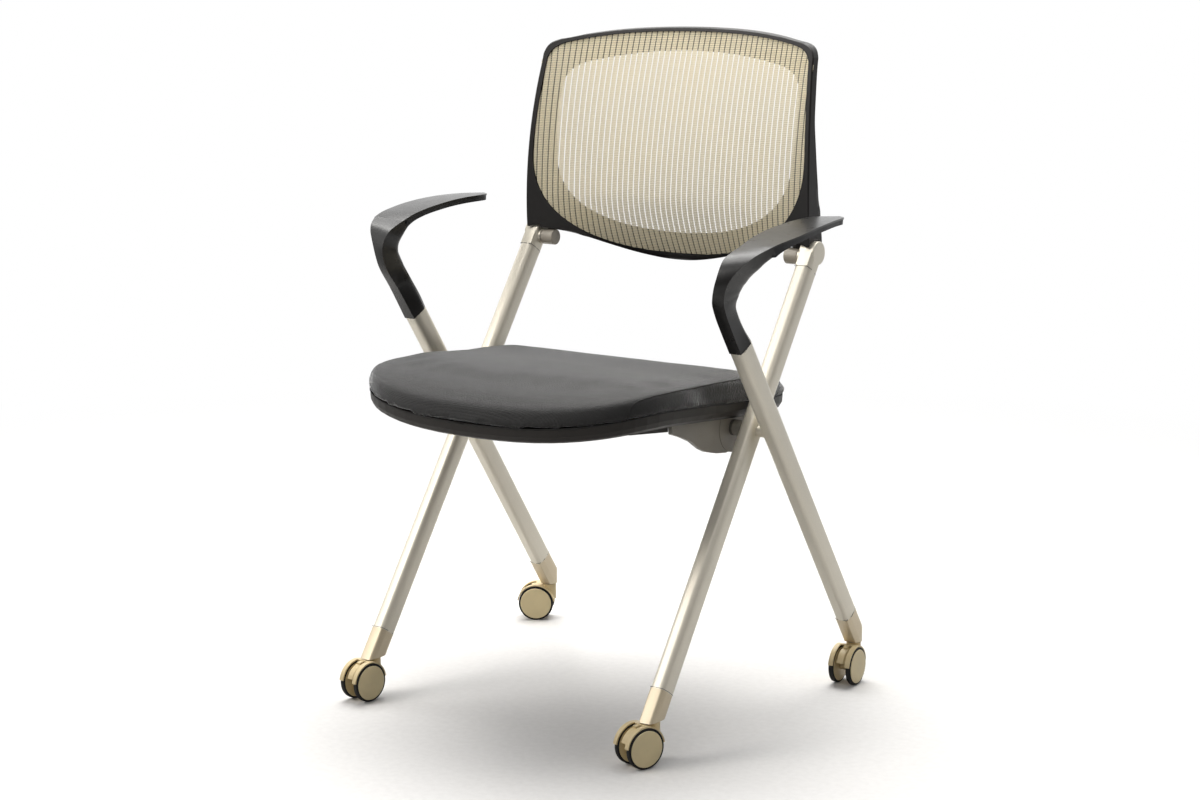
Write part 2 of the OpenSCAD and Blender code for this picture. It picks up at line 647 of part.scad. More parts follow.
// Cast seat bracket: housing round the flip axis, deep rib and a flange under the shell
rib_inset = 0.6;
bush_r = 10;
rib_shares = [[0.99, -0.39], [0.85, -0.19], [0.69, 0.1], [0.53, 0.53], [0.44, 0.7], [0.28, 0.87],
    [0.11, 0.97], [0, 0.9], [-0.12, 0.72], [-0.3, 0.25], [-0.5, -0.08]];
seat_screw_y = [-122, -64, 34, 62];
screw_reach = 10;
screw_x = bracket_x - flange_w + 8;
module seat_screw_places() {
    for (s = [-1, 1], y = seat_screw_y)
        on_seat_plane(shell_h) translate([s * screw_x, y, 0]) children();
}
module seat_bracket(s) {
    color(bracket_colour) on_side(s) difference() {
        union() {
            at_flip_axis() rod_x(housing_r, bracket_x - housing_w, bracket_x);
            translate([bracket_x - rib_inset - rib_w, 0, cross_z]) rotate([90, 0, 90]) linear_extrude(rib_w)
                polygon(concat([for (p = rib_shares) [flange_front_y * p[0], -housing_r * p[1]]],
                    [[flange_rear_y, housing_r], [flange_front_y, housing_r]]));
            on_seat_plane(shell_h) translate([bracket_x - flange_w, flange_front_y, -flange_t])
                cube([flange_w - rib_w, flange_rear_y - flange_front_y, 2 * flange_t]);
        }
        on_seat_plane(shell_h) translate([0, -cross_z, 0]) cube([cross_z, 2 * cross_z, cross_z]);
        at_flip_axis() rod_x(bush_r, bracket_x - housing_w - flange_w, bracket_x + over);
        at_flip_axis() stop_cavity();
        seat_screw_places() translate([0, 0, -2 * flange_t]) cylinder(r = bolt_r + fit, h = 3 * flange_t);
    }
}

// Hollow that lets the stop pin sweep the flip range
cavity_side = stop_r + fit;
cavity_spare = asin(cavity_side / bush_r);
cavity_low_r = bush_r / 2;
cavity_far_r = norm([stop_reach, stop_r]) + fit;
module stop_cavity() {
    translate([housing_mid_x - cavity_side, 0, 0]) rotate([stop_angle - cavity_spare, 0, 0])
        rotate([90, 0, 90]) rotate_extrude(angle = flip_range + 2 * cavity_spare)
        translate([cavity_low_r, 0]) square([cavity_far_r - cavity_low_r, 2 * cavity_side]);
}

module seat_pivot_bushes() {
    color(dark_plastic) both_sides() at_flip_axis() difference() {
        union() {
            rod_x(bush_r, bracket_x - housing_w, housing_mid_x - cavity_side);
            rod_x(bush_r, housing_mid_x + cavity_side, inner_face_x - seat_gap);
        }
        rod_x(tube_r + run, bracket_x - housing_w - over, inner_face_x);
    }
}

module seat_screws() {
    color(steel_colour) placed() seat_screw_places() {
        translate([0, 0, -flange_t]) cylinder(r = bolt_r, h = flange_t + screw_reach);
        translate([0, 0, -flange_t - head_t]) cylinder(r = head_r, h = head_t);
    }
}

// Back: half outline stations from the middle of the top to the middle of the bottom
top_steps = 9;
corner_steps = 6;
side_steps = 5;
drop_steps = 6;
base_steps = 12;
half_steps = top_steps + corner_steps + side_steps + drop_steps + base_steps;
side_base_z = 691;
widest_z = 591;
side_narrowing = 0.00024;
function half_w(z) = back_half_w - side_narrowing * pow(z - widest_z, 2);
top_arc_x = 205;
top_fall = 14;
top_fall_4 = 9.5;
function top_z(x) = back_top_z - top_fall * pow(x / top_arc_x, 2) - top_fall_4 * pow(x / top_arc_x, 4);
base_rise = 17;
base_half_w = 210;
function base_z(x) = corner_z - 2 * base_rise + base_rise * (1 - cos(180 * min(1, abs(x) / base_half_w)));

// Lip round the mesh
lip_w = 7.5;
lip_top = 5.5;
lip_depth = 133.5;
lip_power = 2.35;
lip_half_w = half_w(side_base_z) - lip_w;

// Outer, lip and window corner curves
outer_from_x = 183;
outer_mid = [211.3, back_top_z - 24.4];
outer_to_z = back_top_z - 42;
outer_corner = [[outer_from_x, top_z(outer_from_x)], outer_mid, [half_w(outer_to_z), outer_to_z]];
lip_from_x = 176;
lip_mid = [201.4, back_top_z - 29];
lip_to_z = back_top_z - 45;
lip_corner = [[lip_from_x, top_z(lip_from_x) - lip_top], lip_mid, [half_w(lip_to_z) - lip_w, lip_to_z]];
window_top = back_top_z - 31;
window_half_w = 190;
window_mid_z = 733;
window_narrowing = 0.0018;
window_arc_x = 140;
window_fall = 14;
window_from_x = 150;
window_mid = [182, back_top_z - 54];
window_to_z = back_top_z - 75;
function window_w(z) = window_half_w - window_narrowing * pow(z - window_mid_z, 2);
function window_top_z(x) = window_top - window_fall * pow(x / window_arc_x, 2);
window_corner = [[window_from_x, window_top_z(window_from_x)], window_mid,
    [window_w(window_to_z), window_to_z]];
window_depth = 105;
function curve(c, t) = bezier(c[0], c[1], c[2], t);
function bowl(w, deep, a) = [w * pow(cos(a), 2 / lip_power),
    side_base_z - deep * pow(sin(a), 2 / lip_power)];
function back_station(k) =
    k <= top_steps ? let (t = k / top_steps, xo = outer_corner[0][0] * t, xl = lip_corner[0][0] * t,
            xw = window_corner[0][0] * t)
        [[xo, top_z(xo)], [xl, top_z(xl) - lip_top], [xw, window_top_z(xw)]]
    : k <= top_steps + corner_steps ? let (t = (k - top_steps) / corner_steps)
        [curve(outer_corner, t), curve(lip_corner, t), curve(window_corner, t)]
    : k <= top_steps + corner_steps + side_steps ? let (t = (k - top_steps - corner_steps) / side_steps,
            zo = mix(outer_corner[2][1], side_base_z, t), zl = mix(lip_corner[2][1], side_base_z, t),
            zw = mix(window_corner[2][1], side_base_z, t))
        [[half_w(zo), zo], [half_w(zl) - lip_w, zl], [window_w(zw), zw]]
    : let (m = k - top_steps - corner_steps - side_steps, a = 90 * m / (drop_steps + base_steps),
            zo = mix(side_base_z, corner_z, m / drop_steps),
            xo = back_half_w * (1 - (m - drop_steps) / base_steps))
        [m <= drop_steps ? [half_w(zo), zo] : [xo, base_z(xo)],
            bowl(lip_half_w, lip_depth, a), bowl(window_w(side_base_z), window_depth, a)];
function mirrored(p) = [-p[0], p[1]];
back_stations = concat([for (k = [0 : half_steps]) back_station(k)],
    [for (k = [half_steps - 1 : -1 : 1]) [for (p = back_station(k)) mirrored(p)]]);

// Setback of the mesh face: dished at the lumbar, bowed round the sitter
rise_power = 1.63;
rise_up = 0.00702;
rise_down = 0.02317;
side_power = 2;
side_up = 0.00067;
side_down = 0.00085;
bow_half_w = 220;
function middle_y(z) = pow(abs(z - lumbar_z), rise_power) * (z > lumbar_z ? rise_up : rise_down);
function flank_y(z) = pow(abs(z - lumbar_z), side_power) * (z > lumbar_z ? side_up : side_down) - bow;
function face_y(p) = lumbar_y + mix(middle_y(p[1]), flank_y(p[1]), pow(p[0] / bow_half_w, 2));

// Section of the back frame at one station
rim_growth = 0.134;
rim_growth_z = 741;
flange_back = 13;
flange_skin = 3;
lip_round = 1.8;
rear_round = 3;
ledge_w = 6;
function rim_d(z) = rim_top_d + rim_growth * max(0, rim_growth_z - z);
function deep(p, d) = [p[0], face_y(p) + d, p[1]];
function frame_ring(s) = let (o = s[0], l = s[1], w = s[2], d = rim_d(o[1]),
        ledge = towards(l, w, ledge_w))
    [deep(towards(o, l, lip_round), 0), deep(l, 0), deep(l, mesh_recess), deep(ledge, mesh_recess),
        deep(w, flange_back), deep(w, flange_back + flange_skin), deep(l, max(d, flange_back)),
        deep(towards(o, l, rear_round), d), deep(o, d - rear_round), deep(o, lip_round)];

recess_r = cap_r + recess_gap;
module back_frame() {
    rings = [for (s = back_stations) frame_ring(s)];
    count = len(rings[0]);
    total = len(rings);
    color(black_plastic) placed() difference() {
        polyhedron(points = [for (r = rings, p = r) p],
            faces = [for (i = [0 : total - 1], j = [0 : count - 1])
                let (a = i * count + j, b = i * count + (j + 1) % count,
                    c = ((i + 1) % total) * count + j, d = ((i + 1) % total) * count + (j + 1) % count)
                each [[a, c, b], [b, c, d]]]);
        for (s = [-1, 1]) mirror([s < 0 ? 1 : 0, 0, 0]) {
            at_cap() rod_x(recess_r, tang_x + tang_w + edge_r, back_half_w + over);
            at_back_pivot() rod_x(barrel_r + seat_gap, barrel_in_x - over, tang_x + tang_w + 2 * edge_r);
            tang(fit / 2);
            tang_screw_places() {
                translate([0, 0, -back_screw_tip - fit]) cylinder(r = bolt_r + fit, h = screw_l);
                translate([0, 0, back_head_y - fit]) cylinder(r = head_r + fit, h = screw_l);
            }
        }
    }
}

// Mesh panel edges as functions of x
mesh_edge_gap = 0.8;
mesh_lift = 0.45;
function solve_curve(c, x) = let (a = c[0][0] - 2 * c[1][0] + c[2][0], b = 2 * (c[1][0] - c[0][0]),
        e = c[0][0] - x)
    (-b + sqrt(max(0, b * b - 4 * a * e))) / (2 * a);
function mesh_high(x) = (x < lip_corner[0][0] ? top_z(x) - lip_top
    : curve(lip_corner, solve_curve(lip_corner, x))[1]) - mesh_edge_gap;
function mesh_low(x) = side_base_z - lip_depth * pow(1 - pow(x / lip_half_w, lip_power), 1 / lip_power)
    + mesh_edge_gap;
function mesh_side(z) = (z < side_base_z
    ? lip_half_w * pow(max(0, 1 - pow((side_base_z - z) / lip_depth, lip_power)), 1 / lip_power)
    : half_w(z) - lip_w) - mesh_edge_gap;
mesh_lines = concat([-1], [for (i = [0 : gap_count - 1], e = [-1, 1])
    (i - gap_count / 2 + 0.5) * stripe_pitch + e * stripe_gap / 2], [1]);
line_count = len(mesh_lines);
row_lines = 2 * gap_rows + 2;
row_bar_share = 0.014;
row_shares = concat([0], [for (i = [0 : gap_rows - 1])
    each [(1 - row_bar_share) * i / gap_rows + row_bar_share,
        (1 - row_bar_share) * (i + 1) / gap_rows]], [1]);
edge_squeeze = 0.9;
function mesh_point(i, j) = let (edge = i == 0 || i == line_count - 1,
        near = edge ? (i == 0 ? 1 : line_count - 2) : i, x = mesh_lines[near],
        z = mix(mesh_low(abs(x)), mesh_high(abs(x)), row_shares[j]),
        m = (mesh_low(abs(x)) + mesh_high(abs(x))) / 2, ze = mix(m, z, edge_squeeze))
    edge ? [sign(x) * min(mesh_side(ze), mesh_side(lip_to_z) + (lip_to_z > ze ? lip_w : 0)), ze] : [x, z];
module back_mesh() {
    front = mesh_recess - mesh_t - mesh_lift;
    flat = [for (i = [0 : line_count - 1], j = [0 : row_lines - 1]) mesh_point(i, j)];
    half = len(flat);
    cols = line_count - 1;
    rows = row_lines - 1;
    color(mesh_colour) placed() polyhedron(
        points = concat([for (p = flat) deep(p, front)], [for (p = flat) deep(p, front + mesh_t)]),
        faces = concat(
            [for (i = [0 : cols - 1], j = [0 : rows - 1]) if (i % 2 == 0 || j % 2 == 0)
                let (a = i * row_lines + j, b = a + row_lines, c = b + 1, d = a + 1)
                each [[a, d, b], [b, d, c], [half + a, half + b, half + d], [half + b, half + c, half + d]]],
            [for (i = [0 : cols - 1], j = [0 : rows - 1]) if (i % 2 == 1 && j % 2 == 1)
                let (a = i * row_lines + j, b = a + row_lines, c = b + 1, d = a + 1)
                each [[a, d, half + a], [half + a, d, half + d], [b, half + b, c], [c, half + b, half + c],
                    [a, half + a, b], [b, half + a, half + b], [d, c, half + d], [half + d, c, half + c]]],
            [for (j = [0 : rows - 1]) let (a = j, b = cols * row_lines + j)
                each [[a, half + a, a + 1], [a + 1, half + a, half + a + 1],
                    [b, b + 1, half + b], [half + b, b + 1, half + b + 1]]],
            [for (i = [0 : cols - 1]) let (a = i * row_lines, b = a + rows)
                each [[a, a + row_lines, half + a], [half + a, a + row_lines, half + a + row_lines],
                    [b, half + b, b + row_lines], [b + row_lines, half + b, half + b + row_lines]]]));
}

// Barrel with a tang up into the corner of the back frame
screw_l = 60;
tang_screw_z = [20, 31];
tang_y = 7;
module tang(grow) {
    translate([tang_x - grow, pivot_y + tang_y - tang_t / 2 - grow, pivot_z])
        cube([tang_w + 2 * grow, tang_t + 2 * grow, tang_h + grow]);
}
module tang_screw_places() {
    for (z = tang_screw_z)
        translate([tang_x + tang_w / 2, pivot_y + tang_y, pivot_z + z]) rotate([-90, 0, 0]) children();
}
module back_bracket(s) {
    color(barrel_colour) on_side(s) difference() {
        union() {
            at_back_pivot() soft_disc(barrel_r, barrel_in_x, barrel_out_x, 1);
            tang(0);
        }
        at_back_pivot() rod_x(sleeve_r, barrel_in_x + barrel_end_t, barrel_out_x + over);
        tang_screw_places() cylinder(r = bolt_r, h = screw_l, center = true);
    }
}

// Rubber sleeve that returns the back, and the plain bushes beside it
sleeve_r = 8.4;
bush_l = 4;
sleeve_x0 = barrel_in_x + barrel_end_t;
module back_torsion_sleeves() {
    color(tyre_colour) both_sides() at_back_pivot() difference() {
        rod_x(sleeve_r, sleeve_x0, barrel_out_x - bush_l);
        rod_x(pin_r + run, sleeve_x0 - over, barrel_out_x);
    }
}
module back_bushes() {
    color(dark_plastic) both_sides() at_back_pivot() difference() {
        union() {
            rod_x(sleeve_r, barrel_out_x - bush_l, barrel_out_x);
            rod_x(boss_r - edge_r / 2, barrel_out_x, barrel_out_x + ring_t);
        }
        rod_x(pin_r + run, barrel_out_x - bush_l - over, barrel_out_x + over);
    }
}
back_screw_tip = 9;
back_head_y = 17;
module back_screws() {
    color(steel_colour) both_sides() tang_screw_places() {
        translate([0, 0, -back_screw_tip]) cylinder(r = bolt_r, h = back_screw_tip + back_head_y);
        translate([0, 0, back_head_y]) cylinder(r = head_r, h = head_t);
    }
}

// Casters: local +X is the heading, the axle lies along Y, a trail behind the stem
caster_places = [[-inner_leg_x, front_stem_y, head_front_left], [inner_leg_x, front_stem_y, head_front_right],
    [-outer_leg_x, rear_stem_y, head_rear_left], [outer_leg_x, rear_stem_y, head_rear_right]];
module at_caster(i) {
    placed() translate([caster_places[i][0], caster_places[i][1], 0])
        rotate([0, 0, caster_places[i][2]]) children();
}
module at_axle() {
    translate([-trail, 0, wheel_d / 2]) rotate([90, 0, 0]) children();
}
axle_r = 3;
collar_r = 8;
collar_t = 1.4;
housing_top = foot_z - collar_t - run;
stem_low = 32;
wheel_half = caster_w / 2;
wheel_in = 8;
hood_gap = 0.6;
hood_t = 1.6;
hood_in_r = wheel_d / 2 + hood_gap;
hood_half = wheel_half - 2;
fender_in = 8.6;
dome_half = 6.2;
dome_r = 24;
dome_low_r = 19;
web_half = 3;
boss_half = 7.7;
axle_boss_r = 7;
neck_r = 9.5;
neck_low = 30;
neck_half = 7.2;
// Angles above the heading at which the hood, the slot between its fenders, the dome and
// the web between them start and end
hood_arc = [8, 172];
fender_slot_arc = [92, 180];
dome_arc = [50, 162];
web_arc = [14, 106];

// Sector of a ring round the axle, over an arc above the heading
module axle_sector(r0, r1, n0, n1, arc) {
    rotate([0, 0, arc[0]]) rotate_extrude(angle = arc[1] - arc[0]) translate([r0, n0])
        square([r1 - r0, n1 - n0]);
}
module caster_body(i) {
    color(caster_colour) at_caster(i) difference() {
        union() {
            difference() {
                translate([0, 0, neck_low]) cylinder(r = neck_r, h = housing_top - neck_low);
                for (n = [-1, 1]) at_axle() translate([0, 0, n * (neck_half + wheel_d / 2)])
                    cylinder(r = hood_in_r + hood_t / 2, h = wheel_d, center = true);
            }
            difference() {
                at_axle() axle_sector(hood_in_r, hood_in_r + hood_t, -hood_half, hood_half, hood_arc);
                at_axle() axle_sector(hood_in_r - over, hood_in_r + hood_t + over, -fender_in, fender_in,
                    fender_slot_arc);
            }
            at_axle() rotate([0, 0, dome_arc[0]]) rotate_extrude(angle = dome_arc[1] - dome_arc[0])
                polygon([[dome_low_r, -dome_half], [dome_r - edge_r, -dome_half],
                    [dome_r, edge_r - dome_half], [dome_r, dome_half - edge_r],
                    [dome_r - edge_r, dome_half], [dome_low_r, dome_half]]);
            at_axle() axle_sector(0, hood_in_r + hood_t / 2, -web_half, web_half, web_arc);
            at_axle() cylinder(r = axle_boss_r, h = 2 * boss_half, center = true);
        }
        translate([0, 0, stem_low]) cylinder(r = stem_r + run, h = foot_z);
        at_axle() cylinder(r = axle_r, h = caster_w, center = true);
    }
}
axle_half = 14.3;
module caster_axle(i) {
    color(steel_colour) at_caster(i) at_axle() cylinder(r = axle_r, h = 2 * axle_half, center = true);
}
wheel_r = 22.6;
cap_edge = 0.8;
module wheel(i, side) {
    color(caster_colour) at_caster(i) at_axle() mirror([0, 0, side < 0 ? 1 : 0]) rotate_extrude()
        polygon([[axle_r + run, wheel_in], [wheel_r, wheel_in + cap_edge],
            [wheel_r, wheel_half - 2 * cap_edge],
            [wheel_r - cap_edge, wheel_half - cap_edge / 2], [0, wheel_half], [0, axle_half + seat_gap],
            [axle_r + run, axle_half + seat_gap]]);
}
tyre_edge = 1;
module tyre(i, side) {
    color(tyre_colour) at_caster(i) at_axle() mirror([0, 0, side < 0 ? 1 : 0]) rotate_extrude()
        polygon([[wheel_r, wheel_in + cap_edge], [wheel_d / 2 - tyre_edge, wheel_in + cap_edge],
            [wheel_d / 2, wheel_in + cap_edge + tyre_edge],
            [wheel_d / 2, wheel_half - 2 * cap_edge - tyre_edge],
            [wheel_d / 2 - tyre_edge, wheel_half - 2 * cap_edge], [wheel_r, wheel_half - 2 * cap_edge]]);
}
module caster_stems() {
    color(steel_colour) for (i = [0 : 3]) at_caster(i) {
        translate([0, 0, stem_low + over]) cylinder(r = stem_r, h = foot_z + stem_up - stem_low - over);
        translate([0, 0, foot_z - collar_t]) cylinder(r = collar_r, h = collar_t);
    }
}

leg_front(-1);  // leg_front_left
leg_front(1);  // leg_front_right
leg_rear(-1);  // leg_rear_left
leg_rear(1);  // leg_rear_right
foot_front(-1);  // foot_front_left
foot_front(1);  // foot_front_right
foot_rear(-1);  // foot_rear_left
foot_rear(1);  // foot_rear_right
cross_tube();
leg_spacers();
back_cap(-1);  // back_cap_left
back_cap(1);  // back_cap_right
back_pivot_pins();
armrest(-1);  // armrest_left
armrest(1);  // armrest_right
arm_under(-1);  // arm_under_left
arm_under(1);  // arm_under_right
arm_spigots();
arm_screws();
caster_stems();
seat_stop_pins();
seat_cushion();
seat_board();
seat_shell();
seat_bracket(-1);  // seat_bracket_left
seat_bracket(1);  // seat_bracket_right
seat_pivot_bushes();
seat_screws();
back_frame();
back_mesh();
back_bracket(-1);  // back_bracket_left
back_bracket(1);  // back_bracket_right
back_torsion_sleeves();
back_bushes();
back_screws();
caster_body(0);  // caster_front_left_body
caster_axle(0);  // caster_front_left_axle
wheel(0, -1);  // wheel_front_left_a
tyre(0, -1);  // tyre_front_left_a
wheel(0, 1);  // wheel_front_left_b
tyre(0, 1);  // tyre_front_left_b
caster_body(1);  // caster_front_right_body
caster_axle(1);  // caster_front_right_axle
wheel(1, -1);  // wheel_front_right_a
tyre(1, -1);  // tyre_front_right_a
wheel(1, 1);  // wheel_front_right_b
tyre(1, 1);  // tyre_front_right_b
caster_body(2);  // caster_rear_left_body
caster_axle(2);  // caster_rear_left_axle
wheel(2, -1);  // wheel_rear_left_a
tyre(2, -1);  // tyre_rear_left_a
wheel(2, 1);  // wheel_rear_left_b
tyre(2, 1);  // tyre_rear_left_b
caster_body(3);  // caster_rear_right_body
caster_axle(3);  // caster_rear_right_axle
wheel(3, -1);  // wheel_rear_right_a
tyre(3, -1);  // tyre_rear_right_a
wheel(3, 1);  // wheel_rear_right_b
tyre(3, 1);  // tyre_rear_right_b
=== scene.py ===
"""Looks of the nesting chair: replaces the soft and faceted solids with smooth, detailed
pieces, gives every piece a procedural material, and sets the stage, lights and camera.
Sizes and places of the chair are in millimetres, and MM turns them into Blender's metres.
The stage, the lights and the camera are in metres."""
import json
import math

import bmesh
import bpy
from mathutils import Matrix, Vector
from mathutils.bvhtree import BVHTree


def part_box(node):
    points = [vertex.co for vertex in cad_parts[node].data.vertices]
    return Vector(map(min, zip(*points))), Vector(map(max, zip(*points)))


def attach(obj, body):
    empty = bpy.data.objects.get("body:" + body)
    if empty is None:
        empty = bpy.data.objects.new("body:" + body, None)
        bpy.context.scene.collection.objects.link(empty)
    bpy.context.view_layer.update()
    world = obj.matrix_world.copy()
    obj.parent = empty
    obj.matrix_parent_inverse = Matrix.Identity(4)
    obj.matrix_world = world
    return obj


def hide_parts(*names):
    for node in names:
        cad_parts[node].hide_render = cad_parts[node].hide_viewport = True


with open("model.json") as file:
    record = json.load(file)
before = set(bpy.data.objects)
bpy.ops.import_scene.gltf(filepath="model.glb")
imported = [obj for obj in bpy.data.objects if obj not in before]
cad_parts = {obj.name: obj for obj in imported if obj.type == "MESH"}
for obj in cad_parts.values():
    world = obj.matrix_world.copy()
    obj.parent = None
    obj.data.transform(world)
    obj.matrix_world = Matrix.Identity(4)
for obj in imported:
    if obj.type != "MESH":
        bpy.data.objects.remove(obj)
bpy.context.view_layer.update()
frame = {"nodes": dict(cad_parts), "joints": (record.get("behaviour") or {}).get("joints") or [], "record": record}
scene = bpy.context.scene
NODES = frame["nodes"]
SLOT_OF = {part["node"]: part["material_slot"] for part in frame["record"]["subparts"]}
SIDES = ("left", "right")
MM = 0.001

# Where the legs cross, as the seat's joint says, and how far they lean, in degrees
FLIP_JOINT = next(joint for joint in frame["joints"] if joint["name"] == "seat_flip")
CROSS_Y, CROSS_Z = (place / MM for place in FLIP_JOINT["pos_m"][1:])
FRONT_LEAN, REAR_LEAN = 34.2, -34.6

# Sockets of a colour mix node, by number because their names repeat
MIX_FIRST, MIX_SECOND, MIX_RESULT = 6, 7, 2


# Materials: small helpers round a node tree
def new_node(tree, kind, **values):
    made = tree.nodes.new(kind)
    for key, value in values.items():
        setattr(made, key, value)
    return made


def ramp(tree, value, start=(0, 1), end=(0, 1), smooth=False):
    """Maps a value from one range to another, evenly or with soft ends."""
    made = new_node(tree, "ShaderNodeMapRange")
    if smooth:
        made.interpolation_type = "SMOOTHSTEP"
    for name, number in zip(("From Min", "From Max", "To Min", "To Max"), (*start, *end)):
        made.inputs[name].default_value = number
    tree.links.new(value, made.inputs["Value"])
    return made.outputs[0]


def shade(colour, share):
    """The colour times a share, at most white."""
    return tuple(min(1, channel * share) for channel in colour)


class Surface:
    """A Principled material whose detail is built from object coordinates."""

    def __init__(self, name, colour, rough, metal=0.0, **sockets):
        self.mat = bpy.data.materials.new(name)
        self.mat.use_nodes = True
        self.tree = self.mat.node_tree
        self.shader = self.tree.nodes["Principled BSDF"]
        self.colour = colour
        self.set("Base Color", (*colour, 1))
        self.set("Roughness", rough)
        self.set("Metallic", metal)
        for key, value in sockets.items():
            self.set(key.replace("_", " "), value)
        self.place = new_node(self.tree, "ShaderNodeTexCoord").outputs["Object"]
        self.last_bump = None

    def set(self, name, value):
        self.shader.inputs[name].default_value = value

    def link(self, source, target):
        self.tree.links.new(source, target)

    def math(self, operation, *values):
        made = new_node(self.tree, "ShaderNodeMath", operation=operation)
        for socket, value in zip(made.inputs, values):
            if isinstance(value, (int, float)):
                socket.default_value = value
            else:
                self.link(value, socket)
        return made.outputs[0]

    def axes(self):
        split = new_node(self.tree, "ShaderNodeSeparateXYZ")
        self.link(self.place, split.inputs[0])
        return split.outputs

    def noise(self, size_mm, detail=3.0, stretch=None):
        texture = new_node(self.tree, "ShaderNodeTexNoise")
        texture.inputs["Scale"].default_value = 1 / (size_mm * MM)
        texture.inputs["Detail"].default_value = detail
        source = self.place
        if stretch:
            squeeze = new_node(self.tree, "ShaderNodeMapping")
            squeeze.inputs["Scale"].default_value = stretch
            self.link(source, squeeze.inputs[0])
            source = squeeze.outputs[0]
        self.link(source, texture.inputs["Vector"])
        return texture.outputs["Fac"]

    def cells(self, size_mm):
        texture = new_node(self.tree, "ShaderNodeTexVoronoi")
        texture.inputs["Scale"].default_value = 1 / (size_mm * MM)
        self.link(self.place, texture.inputs["Vector"])
        return texture.outputs["Distance"]

    def wave(self, axis, pitch_mm):
        """A sine along one axis of the place, or along a sum of axes."""
        return self.math("SINE", self.math("MULTIPLY", axis, 2 * math.pi / (pitch_mm * MM)))

    def tint(self, value, other, low=0.3, high=0.7):
        """Mixes the base colour with another one as a value goes from low to high."""
        mix = new_node(self.tree, "ShaderNodeMix", data_type="RGBA")
        mix.inputs[MIX_FIRST].default_value = (*self.colour, 1)
        mix.inputs[MIX_SECOND].default_value = (*other, 1)
        before = self.shader.inputs["Base Color"].links
        if before:
            self.link(before[0].from_socket, mix.inputs[MIX_FIRST])
        self.link(ramp(self.tree, value, (low, high)), mix.inputs[0])
        self.link(mix.outputs[MIX_RESULT], self.shader.inputs["Base Color"])

    def rough(self, value, low, high):
        self.link(ramp(self.tree, value, end=(low, high)), self.shader.inputs["Roughness"])

    def bump(self, value, depth_mm, strength=1.0):
        made = new_node(self.tree, "ShaderNodeBump")
        made.inputs["Strength"].default_value = strength
        made.inputs["Distance"].default_value = depth_mm * MM
        self.link(value, made.inputs["Height"])
        if self.last_bump:
            self.link(self.last_bump, made.inputs["Normal"])
        self.last_bump = made.outputs[0]
        self.link(self.last_bump, self.shader.inputs["Normal"])


def srgb(*channels):
    """A colour as a screen shows it, 0 to 255, in the renderer's linear values."""
    return tuple(((c / 255 + 0.055) / 1.055) ** 2.4 if c > 10 else c / 255 / 12.92 for c in channels)


def paint(name, colour, rough=0.36, grain_mm=0.010):
    """Satin metallic paint with fine flecks and a slight clouding."""
    look = Surface(name, colour, rough, metal=0.3, Coat_Weight=0.15, Coat_Roughness=0.2)
    look.tint(look.noise(size_mm=140, detail=2), shade(colour, 0.93))
    look.tint(look.cells(size_mm=0.9), shade(colour, 1.12), low=0.35, high=0.1)
    look.rough(look.noise(size_mm=25), rough - 0.04, rough + 0.06)
    look.bump(look.noise(size_mm=1.6, detail=2), grain_mm)
    look.bump(look.noise(size_mm=16, detail=2), depth_mm=0.02)
    return look.mat


def moulded(name, colour, rough=0.5, grain_mm=0.05, cell_mm=0.9, specular=0.5):
    """Plastic or a plain casting with an eroded grain."""
    look = Surface(name, colour, rough, Specular_IOR_Level=specular)
    look.tint(look.noise(size_mm=60), shade(colour, 1.25))
    look.rough(look.noise(size_mm=12, detail=4), rough - 0.05, rough + 0.08)
    look.bump(look.cells(cell_mm), grain_mm, strength=0.55)
    look.bump(look.noise(size_mm=9, detail=2), depth_mm=0.03)
    return look.mat


def brushed(name, colour, rough=0.3):
    """Plain steel with fine lines along it."""
    look = Surface(name, colour, rough, metal=1.0)
    look.tint(look.noise(size_mm=30), shade(colour, 0.9))
    look.rough(look.noise(size_mm=3, detail=4, stretch=(40, 1, 1)), rough - 0.06, rough + 0.1)
    look.bump(look.noise(size_mm=2, stretch=(30, 1, 1)), depth_mm=0.01)
    return look.mat


def woven(name, colour, thread_colour, pitch_mm, depth_mm):
    """Dark seat cloth: small raised cells in a fine weave, with a sheen at a low angle."""
    look = Surface(name, colour, 0.6, Sheen_Weight=1.0, Sheen_Roughness=0.24, Specular_IOR_Level=0.3)
    x, y, z = look.axes()
    one_way = look.wave(look.math("ADD", look.math("ADD", x, y), z), pitch_mm * 1.1)
    other_way = look.wave(look.math("ADD", look.math("SUBTRACT", x, y), z), pitch_mm * 1.1)
    weave = look.math("MULTIPLY", one_way, other_way)
    look.tint(weave, thread_colour, low=0.1, high=1.1)
    look.tint(look.noise(size_mm=45, detail=4), shade(colour, 0.92))
    look.rough(look.noise(size_mm=6), 0.52, 0.68)
    look.bump(look.cells(pitch_mm), depth_mm)
    look.bump(weave, depth_mm * 0.5, strength=0.8)
    look.bump(look.noise(size_mm=35, detail=2), depth_mm=0.06, strength=0.4)
    return look.mat


def mesh_cloth(name, colour, thread_colour, pitch_mm, open_share):
    """Beige mesh: fine rows of thread with open places between them."""
    look = Surface(name, colour, 0.75, Specular_IOR_Level=0.3, Sheen_Weight=0.25, Sheen_Roughness=0.5)
    x, _, z = look.axes()
    row = look.wave(z, pitch_mm)
    column = look.wave(x, pitch_mm * 0.5)
    look.tint(look.math("MULTIPLY", row, column), thread_colour, low=-0.6, high=0.9)
    look.tint(look.noise(size_mm=70), shade(colour, 0.93))
    thread = look.math("MAXIMUM", row, column)
    cover = ramp(look.tree, thread, (-0.75, -0.1), (open_share, 1), smooth=True)
    look.link(cover, look.shader.inputs["Alpha"])
    look.bump(row, depth_mm=0.25, strength=0.8)
    look.bump(column, depth_mm=0.12, strength=0.6)
    return look.mat


